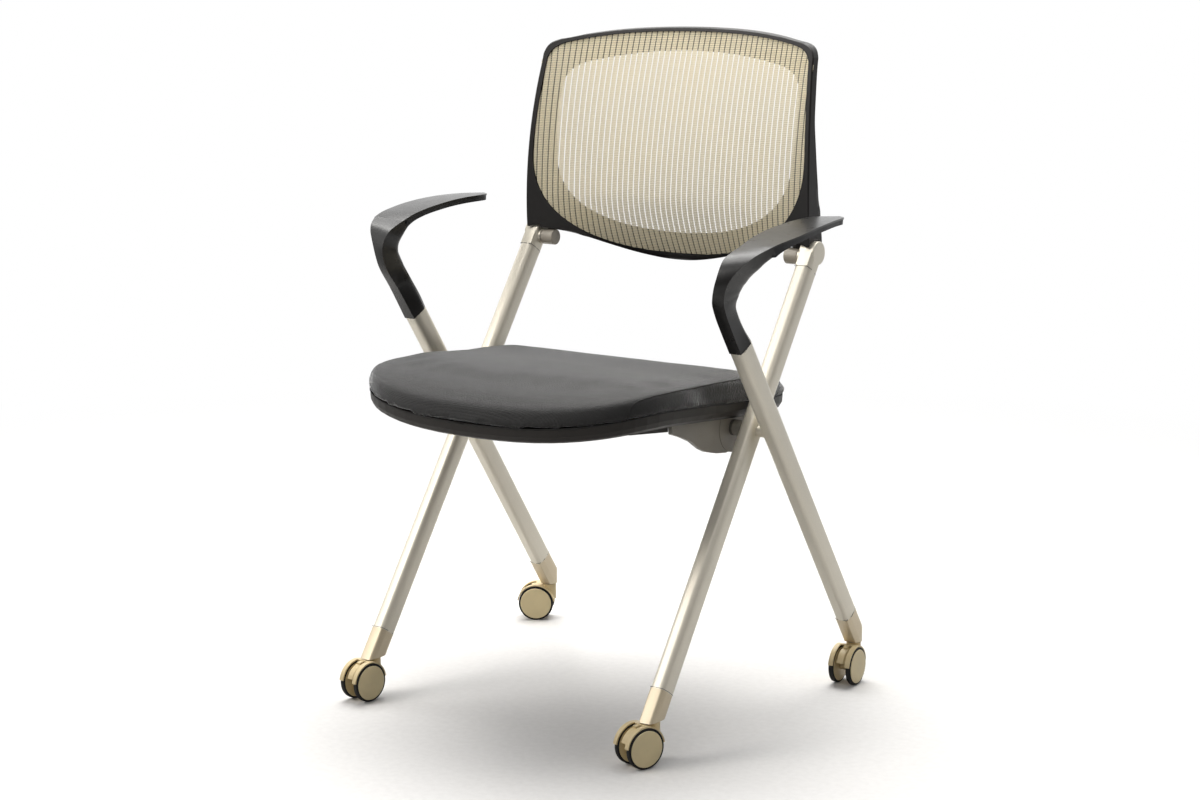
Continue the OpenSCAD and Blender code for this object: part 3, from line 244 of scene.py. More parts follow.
def plywood(name, colour, vein_colour):
    look = Surface(name, colour, 0.6)
    look.tint(look.noise(size_mm=8, detail=4, stretch=(0.2, 1, 6)), vein_colour)
    look.bump(look.noise(size_mm=2, detail=4, stretch=(0.2, 1, 6)), depth_mm=0.08)
    return look.mat


def sleeve(name, colour, cloud_colour, ring_colour, ring_from_mm, ring_to_mm):
    """Light sleeve across the chair with a dark ring at its inner end."""
    look = Surface(name, colour, 0.45)
    across = look.math("ABSOLUTE", look.axes()[0])
    look.tint(across, ring_colour, low=ring_from_mm * MM, high=ring_to_mm * MM)
    look.tint(look.noise(size_mm=20), cloud_colour)
    look.bump(look.cells(size_mm=0.9), depth_mm=0.02, strength=0.5)
    return look.mat


# Specular level of the matt black plastics
MATT = 0.22
MATERIALS = {
    "frame_paint": paint("silver_paint", srgb(224, 217, 200)),
    "cast_paint": paint("cast_silver_paint", srgb(212, 197, 168), 0.4, grain_mm=0.03),
    "arm_plastic": moulded("arm_moulded", srgb(28, 27, 26), 0.28, 0.03, 0.7, specular=0.28),
    "arm_under_plastic": moulded("arm_under_moulded", srgb(26, 26, 27), specular=MATT),
    "shell_plastic": moulded("shell_moulded", srgb(36, 33, 30), 0.5, 0.06, 1.1, specular=MATT),
    "back_plastic": moulded("back_moulded", srgb(31, 29, 28), 0.42, specular=MATT),
    "cushion_fabric": woven("seat_cloth", srgb(22, 21, 20), srgb(54, 53, 53), pitch_mm=2.1, depth_mm=0.3),
    "mesh_fabric": mesh_cloth("back_cloth", srgb(252, 240, 208), srgb(238, 222, 180), 2.3, open_share=0.15),
    "plywood": plywood("seat_plywood", srgb(190, 160, 118), srgb(160, 128, 90)),
    "cast_grey": moulded("bracket_cast", srgb(132, 127, 118), 0.5, 0.08, 1.2),
    "barrel_grey": moulded("barrel_cast", srgb(168, 160, 146), 0.42, 0.03),
    "bush_plastic": moulded("bush_moulded", srgb(48, 48, 49), 0.5, 0.02),
    "sleeve_rubber": moulded("sleeve_rubber", srgb(26, 26, 26), 0.75),
    "wheel_plastic": moulded("wheel_moulded", srgb(218, 200, 156), 0.42, 0.02),
    "caster_plastic": moulded("caster_moulded", srgb(208, 188, 144), 0.4, 0.02),
    "tyre_black": moulded("tyre_rubber", srgb(22, 21, 20), 0.65, specular=MATT),
    "steel": brushed("plain_steel", srgb(165, 163, 158)),
}
for node_name, node in NODES.items():
    node.data.materials.clear()
    node.data.materials.append(MATERIALS[SLOT_OF[node_name]])
NODES["seat_pivot_bushes"].data.materials[0] = sleeve(
    "sleeve_moulded", srgb(150, 145, 134), srgb(140, 135, 125), srgb(30, 30, 30),
    ring_from_mm=196.5, ring_to_mm=195.5)


# Making pieces
WELD = 0.001
DOWN = Vector((0, 0, -1))


def add_object(name, mesh, material):
    obj = bpy.data.objects.new(name, mesh)
    scene.collection.objects.link(obj)
    obj.data.materials.clear()
    obj.data.materials.append(material)
    return obj


def evaluated_mesh(obj):
    deps = bpy.context.evaluated_depsgraph_get()
    return bpy.data.meshes.new_from_object(obj.evaluated_get(deps))


def bake(obj):
    """Applies the object's modifiers to its mesh."""
    mesh = evaluated_mesh(obj)
    obj.modifiers.clear()
    obj.data = mesh


def welded_copy(node_name):
    """A bmesh of a node's solid without doubled vertices."""
    bm = bmesh.new()
    bm.from_mesh(NODES[node_name].data)
    bmesh.ops.remove_doubles(bm, verts=bm.verts, dist=WELD * MM)
    return bm


def finished(bm, name):
    """Turns a bmesh into a mesh and frees it."""
    mesh = bpy.data.meshes.new(name)
    bm.to_mesh(mesh)
    bm.free()
    return mesh


def is_sharp(edge, degrees):
    return len(edge.link_faces) == 2 and edge.calc_face_angle() > math.radians(degrees)


def smooth_faces(mesh):
    for face in mesh.polygons:
        face.use_smooth = True


def shade_smooth(obj, degrees=35):
    """Smooth shading, but for edges over the angle."""
    smooth_faces(obj.data)
    bm = bmesh.new()
    bm.from_mesh(obj.data)
    for edge in bm.edges:
        edge.smooth = not is_sharp(edge, degrees)
    bm.to_mesh(obj.data)
    bm.free()


def skin_tree(mesh):
    """Search tree over a mesh."""
    return BVHTree.FromPolygons([v.co for v in mesh.vertices], [face.vertices for face in mesh.polygons])


def stand_in(node_name, mesh, body):
    """Shows a mesh in place of a node, in the node's own slot."""
    slot = SLOT_OF[node_name]
    obj = add_object(node_name + "_smooth", mesh, MATERIALS[slot])
    shade_smooth(obj)
    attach(obj, body)
    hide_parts(node_name)
    return obj


def ring_points(centre, side, up, radius, count):
    """Points round a circle in the plane of two unit vectors, in metres."""
    return [centre + (side * math.cos(turn) + up * math.sin(turn)) * radius
            for turn in (2 * math.pi * k / count for k in range(count))]


def strip_mesh(name, rows, closed=False):
    """Mesh through rows of points in metres, all of one length."""
    bm = bmesh.new()
    add_strip(bm, rows, closed)
    return finished(bm, name)


def add_strip(bm, rows, closed=False):
    made = [[bm.verts.new(point) for point in row] for row in rows]
    for this, after in zip(made, made[1:]):
        count = len(this)
        for j in range(count if closed else count - 1):
            k = (j + 1) % count
            bm.faces.new((this[j], this[k], after[k], after[j]))


# Subdivision: angles in degrees over which edges stay sharp and under which triangles join
CREASE_ANGLE, JOIN_ANGLE, JOIN_SHAPE_ANGLE = 32, 14, 75
SKIN_LEVELS, FIT_ROUNDS, FIT_SHARE = 2, 4, 0.9


def subdivided(node_name):
    """Subdivided mesh of a faceted solid. Its control points are moved a few times, until the
    skin passes through the solid's own vertices."""
    bm = welded_copy(node_name)
    bmesh.ops.join_triangles(bm, faces=bm.faces, angle_face_threshold=math.radians(JOIN_ANGLE),
                             angle_shape_threshold=math.radians(JOIN_SHAPE_ANGLE))
    crease = bm.edges.layers.float.new("crease_edge")
    for edge in bm.edges:
        if len(edge.link_faces) != 2 or is_sharp(edge, CREASE_ANGLE):
            edge[crease] = 1.0
    mesh = finished(bm, node_name + "_smooth")
    obj = bpy.data.objects.new(node_name + "_work", mesh)
    scene.collection.objects.link(obj)
    sub = obj.modifiers.new("smooth", "SUBSURF")
    sub.levels = sub.render_levels = SKIN_LEVELS
    goals = [v.co.copy() for v in mesh.vertices]
    for _ in range(FIT_ROUNDS):
        made = evaluated_mesh(obj)
        for v, goal, now in zip(mesh.vertices, goals, made.vertices):
            v.co += FIT_SHARE * (goal - now.co)
        bpy.data.meshes.remove(made)
        mesh.update()
    skin = evaluated_mesh(obj)
    bpy.data.objects.remove(obj)
    bpy.data.meshes.remove(mesh)
    return skin


def refined(node_name, body):
    return stand_in(node_name, subdivided(node_name), body)


def leg_axis(lean):
    """Direction up a leg that leans by an angle in degrees."""
    return Vector((0, math.sin(math.radians(lean)), math.cos(math.radians(lean))))


def bevelled(bm, edges, width, segments):
    bmesh.ops.bevel(bm, geom=edges, offset=width * MM, offset_type="OFFSET", segments=segments,
                    profile=0.5, affect="EDGES", clamp_overlap=True)


def merge_flat(bm, degrees):
    bmesh.ops.dissolve_limit(bm, angle_limit=math.radians(degrees), verts=bm.verts, edges=bm.edges)


# Legs and feet: the long creases of the D-shaped section are rounded, the cut ends stay sharp
LEG_ROUND, LEG_ROUND_SEGMENTS, LEG_FLAT_ANGLE, LEG_CREASE_ANGLE = 4.6, 5, 1, 14
LONG_EDGE = 12
END_SHARE = 0.97


def rounded_leg(node_name, along):
    def is_end(face):
        return abs(face.normal.dot(along)) > END_SHARE or abs(face.normal.z) > END_SHARE

    bm = welded_copy(node_name)
    merge_flat(bm, LEG_FLAT_ANGLE)
    edges = [edge for edge in bm.edges if is_sharp(edge, LEG_CREASE_ANGLE)
             and not any(is_end(face) for face in edge.link_faces) and edge.calc_length() > LONG_EDGE * MM]
    bevelled(bm, edges, LEG_ROUND, LEG_ROUND_SEGMENTS)
    return stand_in(node_name, finished(bm, node_name + "_smooth"), "frame")


# Leg caps: their sharp edges are rolled over
CAP_ROUND, CAP_ROUND_SEGMENTS, CAP_FLAT_ANGLE, CAP_SHARP_ANGLE = 3.0, 4, 0.5, 40


def softened_cap(node_name):
    bm = welded_copy(node_name)
    merge_flat(bm, CAP_FLAT_ANGLE)
    edges = [edge for edge in bm.edges if is_sharp(edge, CAP_SHARP_ANGLE)]
    bevelled(bm, edges, CAP_ROUND, CAP_ROUND_SEGMENTS)
    cap = stand_in(node_name, finished(bm, node_name + "_smooth"), "frame")
    cap.data.materials[0] = MATERIALS["frame_paint"]


# The arm pad's lower piece reaches its edge with an upright side, as the photograph shows
PAD_MID_X, PAD_MID_Y, ABOVE_PADS = 286, 20, 660
SLAB_DEPTH, SLAB_EXTRA, SLAB_FROM_Y, SLAB_REACH, SLAB_LOW_Z = 8.6, 8.0, -60.0, 14.0, 597.5
RIM_STEP, SKIN_PLAY = 0.6, 0.2


def surface_below(tree, spot):
    """The point of a surface that is met first from above a spot."""
    return tree.ray_cast(Vector((spot.x, spot.y, ABOVE_PADS * MM)), DOWN)[0]


def thicken_under(under, arm):
    """Lowers the bottom of the under-piece to a depth below the pad's top. The depth grows toward
    the knee, and no point goes under the lowest level."""
    own, top = skin_tree(under.data), skin_tree(arm.data)
    middle = Vector((math.copysign(PAD_MID_X, under.data.vertices[0].co.x), PAD_MID_Y, 0)) * MM
    for v in under.data.vertices:
        inward = middle - v.co
        inward.z = 0
        spot = v.co + inward.normalized() * RIM_STEP * MM
        skin, lid = surface_below(own, spot), surface_below(top, spot)
        if skin and lid and skin.z - v.co.z > SKIN_PLAY * MM:
            depth = SLAB_DEPTH + SLAB_EXTRA * math.exp(-max(0, v.co.y / MM - SLAB_FROM_Y) / SLAB_REACH)
            v.co.z = min(v.co.z, max(lid.z - depth * MM, SLAB_LOW_Z * MM))
    under.data.update()
    shade_smooth(under)


# The back's top corners are a little tighter in the photograph than in the construction
CORNER_X, CORNER_Z, CORNER_PUSH, CORNER_REACH = 203.0, 836.0, 3.2, 13.0
PUSH_SHARE_X, PUSH_SHARE_Z = 0.75, 0.66


def push_corner(mesh):
    for v in mesh.vertices:
        away_x, away_z = abs(v.co.x) / MM - CORNER_X, v.co.z / MM - CORNER_Z
        push = CORNER_PUSH * math.exp(-(away_x ** 2 + away_z ** 2) / (2 * CORNER_REACH ** 2)) * MM
        v.co.x += math.copysign(PUSH_SHARE_X * push, v.co.x)
        v.co.z += PUSH_SHARE_Z * push
    mesh.update()


for side in SIDES:
    arm_piece = refined("armrest_" + side, "frame")
    thicken_under(refined("arm_under_" + side, "frame"), arm_piece)
push_corner(refined("back_frame", "back").data)
for pair, lean in (("front", FRONT_LEAN), ("rear", REAR_LEAN)):
    for side in SIDES:
        for kind in ("leg", "foot"):
            rounded_leg("%s_%s_%s" % (kind, pair, side), leg_axis(lean))
stand_in("seat_shell", NODES["seat_shell"].data.copy(), "seat")
for side in SIDES:
    softened_cap("back_cap_" + side)

# Outline of the seat, with y as the setback from the legs' crossing
SEAT_MID_Y, SEAT_FRONT, SEAT_REAR = -127, 165.5, 299.7
SEAT_HALF_W, SEAT_TAPER = 211.6, 0.043
FRONT_DEPTH_POWER, FRONT_WIDTH_POWER, REAR_POWER = 3.86, 2.39, 6.1
WAIST_X, WAIST_Y, WAIST_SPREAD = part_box("seat_pivot_bushes")[1].x / MM, -78.0, 0.2

# Line between cushion and shell: height at the crossing, fall to the rear and extra drop in front
LINE_Z, LINE_FALL, LINE_FRONT_DROP = 402, 0.09, 30.6


def side_x(y):
    """Half width of the seat's outline at a setback."""
    if y < SEAT_MID_Y:
        share = (SEAT_MID_Y - y) / SEAT_FRONT
        depth_power, width_power = FRONT_DEPTH_POWER, FRONT_WIDTH_POWER
    else:
        share = (y - SEAT_MID_Y) / SEAT_REAR
        depth_power = width_power = REAR_POWER
    along = min(1, share ** (depth_power / 2))
    x = SEAT_HALF_W * math.sqrt(1 - along ** 2) ** (2 / width_power)
    x *= 1 - SEAT_TAPER * (y - SEAT_MID_Y) / SEAT_HALF_W
    return min(x, WAIST_X + WAIST_SPREAD * max(0, WAIST_Y - y))


def line_z(y):
    """Height of the line between cushion and shell at a setback."""
    return LINE_Z - LINE_FALL * y - LINE_FRONT_DROP * max(0, (SEAT_MID_Y - y) / SEAT_FRONT) ** 3


def seat_point(x, y, rise=0):
    """A place on the seat, at a height over the line, in metres."""
    return Vector((x, y + CROSS_Y, line_z(y) + rise)) * MM


# Seat cushion: voxel remesh, cloth under pressure, evened and capped, then one subdivision
VOXEL, VOXEL_QUICK = 5, 9
PIN_HEIGHT, INSET, PROUD, SIDE_PROUD, SIDE_FROM_X = 7, 2.2, 0.9, 0.1, 196
CLOTH_FRAMES, PRESSURE, BENDING, EVEN_ROUNDS = 20, 4, 8, 10


def free_share(co):
    """Nought where the cover is held by the shell, one where it is free."""
    above = co.z / MM - line_z(co.y / MM - CROSS_Y)
    return min(1, max(0, above / PIN_HEIGHT - 1))


def most_rise(co, free):
    """How far the inset cover may rise again: a little proud on top, hardly at the sides."""
    return free * (INSET + (PROUD if abs(co.x) < SIDE_FROM_X * MM else SIDE_PROUD))


def evened(values, mesh, rounds):
    """One number per vertex, spread over its neighbours a few times."""
    near = [[] for _ in values]
    for edge in mesh.edges:
        first, second = edge.vertices
        near[first].append(second)
        near[second].append(first)
    for _ in range(rounds):
        values = [0.5 * value + 0.5 * sum(values[k] for k in around) / max(1, len(around))
                  for value, around in zip(values, near)]
    return values


def move_out(mesh, normals, rise):
    for v, normal, distance in zip(mesh.vertices, normals, rise):
        v.co += normal * distance * MM


def swell(pad, free, normals):
    """How far cloth under pressure moves each vertex outward."""
    held = pad.vertex_groups.new(name="held")
    held.add([i for i, share in enumerate(free) if share == 0], 1.0, "REPLACE")
    cloth = pad.modifiers.new("cloth", "CLOTH")
    cloth.settings.use_pressure = True
    cloth.settings.uniform_pressure_force = PRESSURE
    cloth.settings.effector_weights.gravity = 0
    cloth.settings.vertex_group_mass = "held"
    cloth.settings.bending_stiffness = BENDING
    cloth.collision_settings.use_collision = False
    for k in range(CLOTH_FRAMES):
        scene.frame_set(k + 1)
    swollen = evaluated_mesh(pad)
    pad.modifiers.clear()
    rise = [(after.co - v.co).dot(normal) / MM
            for v, after, normal in zip(pad.data.vertices, swollen.vertices, normals)]
    bpy.data.meshes.remove(swollen)
    scene.frame_set(1)
    return rise


def seat_pad():
    """The woven cushion, swollen over the solid's smooth skin."""
    pad = add_object("seat_pad", NODES["seat_cushion"].data.copy(), MATERIALS["cushion_fabric"])
    remesh = pad.modifiers.new("voxels", "REMESH")
    remesh.mode = "VOXEL"
    remesh.voxel_size = VOXEL * MM
    remesh.use_smooth_shade = True
    bake(pad)
    skin = subdivided("seat_cushion")
    tree = skin_tree(skin)
    bpy.data.meshes.remove(skin)
    for v in pad.data.vertices:
        v.co = tree.find_nearest(v.co)[0]
    pad.data.update()
    normals = [v.normal.copy() for v in pad.data.vertices]
    free = [free_share(v.co) for v in pad.data.vertices]
    rise = [INSET * share for share in free]
    move_out(pad.data, normals, [-distance for distance in rise])
    rise = swell(pad, free, normals)
    rise = [min(max(distance, 0), most_rise(v.co, share))
            for distance, share, v in zip(rise, free, pad.data.vertices)]
    move_out(pad.data, normals, evened(rise, pad.data, EVEN_ROUNDS))
    sub = pad.modifiers.new("finer", "SUBSURF")
    sub.levels = sub.render_levels = 1
    bake(pad)
    smooth_faces(pad.data)
    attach(pad, "seat")
    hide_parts("seat_cushion")
    return pad


# Tubes through points: sine of the angle to upright under which a tube counts as upright
STEEP = 0.05


def tube(name, points, radius, material, sides=8):
    """A round tube through points in metres."""
    rows = []
    count = len(points)
    for i, point in enumerate(points):
        along = (points[min(i + 1, count - 1)] - points[max(i - 1, 0)]).normalized()
        across = along.cross(Vector((0, 0, 1)))
        if across.length <= STEEP:
            across = along.cross(Vector((1, 0, 0)))
        across.normalize()
        rows.append(ring_points(point, across, across.cross(along), radius * MM, sides))
    mesh = strip_mesh(name, rows, closed=True)
    obj = add_object(name, mesh, material)
    smooth_faces(mesh)
    return obj


def smooth_path(points, steps):
    """Catmull-Rom curve through the points."""
    out = []
    for i in range(len(points) - 1):
        before, here = points[max(i - 1, 0)], points[i]
        after, beyond = points[i + 1], points[min(i + 2, len(points) - 1)]
        for k in range(steps):
            t = k / steps
            out.append(0.5 * (2 * here + (after - before) * t
                              + (2 * before - 5 * here + 4 * after - beyond) * t * t
                              + (3 * here - before - 3 * after + beyond) * t ** 3))
    out.append(points[-1])
    return out


# The side panels' seam as setback and height above the line, from the front corner to the rear
SEAM_PATH = [(-237, -2), (-236.5, 3), (-235, 9), (-232, 15), (-227.5, 19.5), (-220, 23), (-208, 25.3),
             (-192, 26.3), (-171, 27), (-150, 27.5), (-128, 28), (-107, 28.8), (-84, 30.5), (-62, 32.5),
             (-24, 35), (10, 36), (45, 35.5), (80, 32), (110, 27), (135, 22), (152, 18), (163, 16),
             (169, 15.5)]
SEAM_REAR_SHARES = (0.75, 0.5, 0.25, 0)
SEAM_RADIUS, SEAM_SINK, SEAM_STEPS = 0.75, 0.1, 8


def seat_seam(pad):
    """The sewn line of the side panels, on the pad's surface."""
    tree = skin_tree(pad.data)
    half = [seat_point(side_x(y), y, rise) for y, rise in SEAM_PATH]
    half += [seat_point(SEAT_HALF_W * share, SEAT_MID_Y + SEAT_REAR, SEAM_PATH[-1][1])
             for share in SEAM_REAR_SHARES]
    mirrored = [Vector((-point.x, point.y, point.z)) for point in half[-2::-1]]
    path = []
    for point in smooth_path(half + mirrored, SEAM_STEPS):
        place, normal, _, _ = tree.find_nearest(point)
        path.append(place - normal * SEAM_SINK * MM)
    seam = tube("seat_side_seam", path, SEAM_RADIUS, MATERIALS["tyre_black"])
    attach(seam, "seat")


# Dark gasket between cover and shell: it stands out in front and is flush beside the legs
GASKET_RADIUS, GASKET_OUT, GASKET_FLUSH_FROM_Y = 0.9, 0.4, 1.5 * WAIST_Y
GASKET_FRONT_STEPS, GASKET_FRONT_POWER = 30, 0.6
GASKET_REAR_STEPS, GASKET_END_STEPS, GASKET_END_SHARE = 60, 6, 0.016


def seat_line():
    """The gasket round the seat, with its points closer together near the ends."""
    setbacks = []
    for k in range(GASKET_FRONT_STEPS):
        turn = math.pi / 2 * (1 - k / GASKET_FRONT_STEPS)
        setbacks.append(SEAT_MID_Y - SEAT_FRONT * math.sin(turn) ** GASKET_FRONT_POWER)
    shares = [k / GASKET_REAR_STEPS for k in range(GASKET_REAR_STEPS)]
    shares += [1 - GASKET_END_SHARE * 0.5 ** k for k in range(GASKET_END_STEPS)]
    setbacks += [SEAT_MID_Y + SEAT_REAR * share for share in shares]
    half = []
    for y in setbacks:
        out = GASKET_OUT if y < GASKET_FLUSH_FROM_Y else 0
        half.append((side_x(y) + out - GASKET_RADIUS, y))
    points = [seat_point(x, y) for x, y in half + [(-x, y) for x, y in half[::-1]]]
    line = tube("seat_line", points + points[:1], GASKET_RADIUS, MATERIALS["tyre_black"])
    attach(line, "seat")


seat_seam(seat_pad())
seat_line()

# Outline of the back's frame and of the lip that the mesh is set in
BACK_HALF_W, BACK_TOP = 224.3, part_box("back_frame")[1].z / MM
TOP_SPAN, TOP_FALL, TOP_CORNER_FALL = 205, 14, 9.5
SIDE_BASE_Z, WIDEST_Z, NARROWING = 691.0, 591.0, 0.00024
LIP_W, LIP_TOP, LIP_DEPTH, LIP_POWER = 7.5, 5.5, 133.5, 2.35
LIP_FROM_X, LIP_MID, LIP_TO_Z = 176.0, (201.4, 827.0), 811.0

# Dish of the back: its lumbar point, the curves of its middle and flanks, and the flanks' bow
LUMBAR_Y, LUMBAR_Z = 135.5, 633.0
MIDDLE_POWER, MIDDLE_ABOVE, MIDDLE_BELOW = 1.63, 0.00702, 0.02317
FLANK_POWER, FLANK_ABOVE, FLANK_BELOW = 2, 0.00067, 0.00085
BOW, BOW_HALF_W = 14.0, 220.0

# Mesh: stripes up the back, with fine threads across behind them
STRIPE_PITCH, STRIPE_W, STRIPE_CROWN, STRIPE_STEPS = 8.5, 6.9, 0.35, 60
STRIPE_SHARES = (-0.5, -0.25, 0, 0.25, 0.5)
NARROWEST_STRIPE, STRIPE_EDGE = 1.5, 1.0
THREAD_PITCH, THREAD_HALF_H, THREAD_STEP, THREAD_EDGE = 2.3, 0.3, 4, 0.6
FIRST_THREAD, LAST_THREAD, SHORTEST_THREAD, FEWEST_THREAD_STEPS = 2.0, 1.5, 4, 8
MESH_EDGE, MESH_RECESS, SIDE_HALVINGS = 0.5, 1.9, 30


def half_w(z):
    return BACK_HALF_W - NARROWING * (z - WIDEST_Z) ** 2


def top_z(x):
    return BACK_TOP - TOP_FALL * (x / TOP_SPAN) ** 2 - TOP_CORNER_FALL * (x / TOP_SPAN) ** 4


LIP_FROM = (LIP_FROM_X, top_z(LIP_FROM_X) - LIP_TOP)
LIP_TO = (half_w(LIP_TO_Z) - LIP_W, LIP_TO_Z)
LIP_HALF_W = half_w(SIDE_BASE_Z) - LIP_W


def mesh_high(x):
    """Top of the mesh at a distance from the middle: the top edge, then the corner's curve."""
    x = abs(x)
    if x <= LIP_FROM[0]:
        return top_z(x) - LIP_TOP - MESH_EDGE
    square = LIP_FROM[0] - 2 * LIP_MID[0] + LIP_TO[0]
    linear = 2 * (LIP_MID[0] - LIP_FROM[0])
    root = math.sqrt(max(0, linear ** 2 - 4 * square * (LIP_FROM[0] - x)))
    t = min(max((root - linear) / (2 * square), 0), 1)
    return LIP_FROM[1] * (1 - t) ** 2 + LIP_MID[1] * 2 * t * (1 - t) + LIP_TO[1] * t * t - MESH_EDGE


def mesh_low(x):
    share = min(1, abs(x) / LIP_HALF_W)
    return SIDE_BASE_Z - LIP_DEPTH * (1 - share ** LIP_POWER) ** (1 / LIP_POWER) + MESH_EDGE


def mesh_side(z):
    """Half width of the mesh at a height."""
    if z < SIDE_BASE_Z:
        return LIP_HALF_W * max(0, 1 - ((SIDE_BASE_Z - z) / LIP_DEPTH) ** LIP_POWER) ** (1 / LIP_POWER)
    if z < LIP_TO_Z:
        return half_w(z) - LIP_W
    low, high = 0.0, LIP_TO[0]
    for _ in range(SIDE_HALVINGS):
        middle = (low + high) / 2
        low, high = (middle, high) if mesh_high(middle) > z else (low, middle)
    return low


def face_y(x, z):
    """Front of the dished back."""
    rise = abs(z - LUMBAR_Z)
    middle = rise ** MIDDLE_POWER * (MIDDLE_ABOVE if z > LUMBAR_Z else MIDDLE_BELOW)
    flank = rise ** FLANK_POWER * (FLANK_ABOVE if z > LUMBAR_Z else FLANK_BELOW) - BOW
    return CROSS_Y + LUMBAR_Y + middle + (flank - middle) * (x / BOW_HALF_W) ** 2


def mesh_point(x, z, forward):
    return Vector((x, face_y(x, z) + MESH_RECESS - forward, z)) * MM


def stripe_rows(middle_x):
    """Rows of a stripe, domed a little, or None where the frame leaves no room for it."""
    reach = LIP_HALF_W - STRIPE_EDGE
    across = [min(max(middle_x + STRIPE_W * share, -reach), reach) for share in STRIPE_SHARES]
    if across[-1] - across[0] < NARROWEST_STRIPE:
        return None
    spans = [(x, mesh_low(x), mesh_high(x)) for x in across]
    crowns = [STRIPE_CROWN * (1 - (2 * share) ** 2) for share in STRIPE_SHARES]
    return [[mesh_point(x, low + (high - low) * k / STRIPE_STEPS, crown)
             for (x, low, high), crown in zip(spans, crowns)] for k in range(STRIPE_STEPS + 1)]


def thread_rows(z):
    """Two rows of a thread across the back, or None where it would be too short."""
    reach = mesh_side(z) - THREAD_EDGE
    if reach <= SHORTEST_THREAD:
        return None
    steps = max(FEWEST_THREAD_STEPS, int(reach / THREAD_STEP))
    return [[mesh_point(-reach + 2 * reach * k / steps, z + d, -STRIPE_CROWN) for k in range(steps + 1)]
            for d in (-THREAD_HALF_H, THREAD_HALF_H)]


def back_mesh():
    count = int(LIP_HALF_W / STRIPE_PITCH)
    strips = [stripe_rows(i * STRIPE_PITCH) for i in range(-count, count + 1)]
    z = SIDE_BASE_Z - LIP_DEPTH + FIRST_THREAD
    while z < BACK_TOP - LIP_TOP - LAST_THREAD:
        strips.append(thread_rows(z))
        z += THREAD_PITCH
    bm = bmesh.new()
    for rows in strips:
        if rows:
            add_strip(bm, rows)
    mesh = finished(bm, "back_mesh_cloth")
    push_corner(mesh)
    smooth_faces(mesh)
    cloth = add_object("back_mesh_cloth", mesh, MATERIALS["mesh_fabric"])
    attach(cloth, "back")
    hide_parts("back_mesh")


back_mesh()

# Fine dark lines where the tubes end on feet and caps, at reaches up a leg from the crossing
FRONT_FOOT_REACH, FRONT_CAP_REACH, REAR_FOOT_REACH = -346.0, 223.0, -329.0
JOINT_RADIUS, JOINT_POINTS, JOINT_SIDES, JOINT_WINDOW = 0.3, 96, 5, 0.06


def outer_ring(points, side, up):
    """The outer one of the loops that points lie on, as evenly turned points round their middle."""
    middle = sum(points, Vector()) / len(points)
    arms = [point - middle for point in points]
    polar = [(math.atan2(arm.dot(up), arm.dot(side)), arm.length) for arm in arms]
    ring = []
    for step in range(JOINT_POINTS):
        turn = 2 * math.pi * step / JOINT_POINTS - math.pi
        near = [reach for angle, reach in polar
                if abs((angle - turn + math.pi) % (2 * math.pi) - math.pi) < JOINT_WINDOW]
        if near:
            ring.append(middle + (side * math.cos(turn) + up * math.sin(turn)) * max(near))
    return ring


def joint_line(leg, lean, reach):
    """A thin ring round a leg, at a reach up from the crossing, or down where it is negative."""
    along = leg_axis(lean)
    spot = (Vector((0, CROSS_Y, CROSS_Z)) + along * reach) * MM
    bm = bmesh.new()
    bm.from_mesh(NODES[leg].data)
    whole = bm.verts[:] + bm.edges[:] + bm.faces[:]
    cut = bmesh.ops.bisect_plane(bm, geom=whole, plane_co=spot, plane_no=along)
    points = [item.co.copy() for item in cut["geom_cut"] if isinstance(item, bmesh.types.BMVert)]
    bm.free()
    across = Vector((1, 0, 0))
    ring = outer_ring(points, across, along.cross(across))
    name = leg + "_line_" + ("high" if reach > 0 else "low")
    line = tube(name, ring + ring[:1], JOINT_RADIUS, MATERIALS["bush_plastic"], JOINT_SIDES)
    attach(line, "frame")


for side in SIDES:
    joint_line("leg_front_" + side, FRONT_LEAN, FRONT_FOOT_REACH)
    joint_line("leg_front_" + side, FRONT_LEAN, FRONT_CAP_REACH)
    joint_line("leg_rear_" + side, REAR_LEAN, REAR_FOOT_REACH)

# Tyre lips: how far they cover the disc, and steps from either edge with heights over the face
TYRE_LIP_SIDES, TYRE_LIP_SHARP_ANGLE, TYRE_LIP_COVER = 48, 50, 0.9
STEPS_FROM_INSIDE = [(0, -0.5), (0, 0.1), (0.3, 0.35)]
STEPS_FROM_OUTSIDE = [(1.2, 0.35), (0.5, 0.1), (0.15, -0.6), (0.8, -0.8)]


def tyre_lip(wheel, axis, caster_middle):
    """A rolled lip of a tyre over the edge of its disc, on the side away from the caster."""
    points = [v.co.copy() for v in NODES["tyre" + wheel].data.vertices]
    reaches = [point.dot(axis) for point in points]
    centre = sum(points, Vector()) / len(points)
    outward = 1 if (centre - caster_middle).dot(axis) > 0 else -1
    face = max(reaches) if outward > 0 else min(reaches)
    hub = centre - axis * centre.dot(axis)
    radii = [(point - axis * point.dot(axis) - hub).length for point in points]
    outer, inner = max(radii) / MM, min(radii) / MM - TYRE_LIP_COVER
    profile = [(inner + step, out) for step, out in STEPS_FROM_INSIDE]
    profile += [(outer - step, out) for step, out in STEPS_FROM_OUTSIDE]
    across = axis.orthogonal().normalized()
    up = axis.cross(across)
    rows = []
    for radius, out in profile:
        middle = hub + axis * (face + outward * out * MM)
        rows.append(ring_points(middle, across, up, radius * MM, TYRE_LIP_SIDES))
    mesh = strip_mesh("tyre_lip" + wheel, rows + rows[:1], closed=True)
    lip = add_object("tyre_lip" + wheel, mesh, MATERIALS["tyre_black"])
    shade_smooth(lip, TYRE_LIP_SHARP_ANGLE)
    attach(lip, "wheel" + wheel)


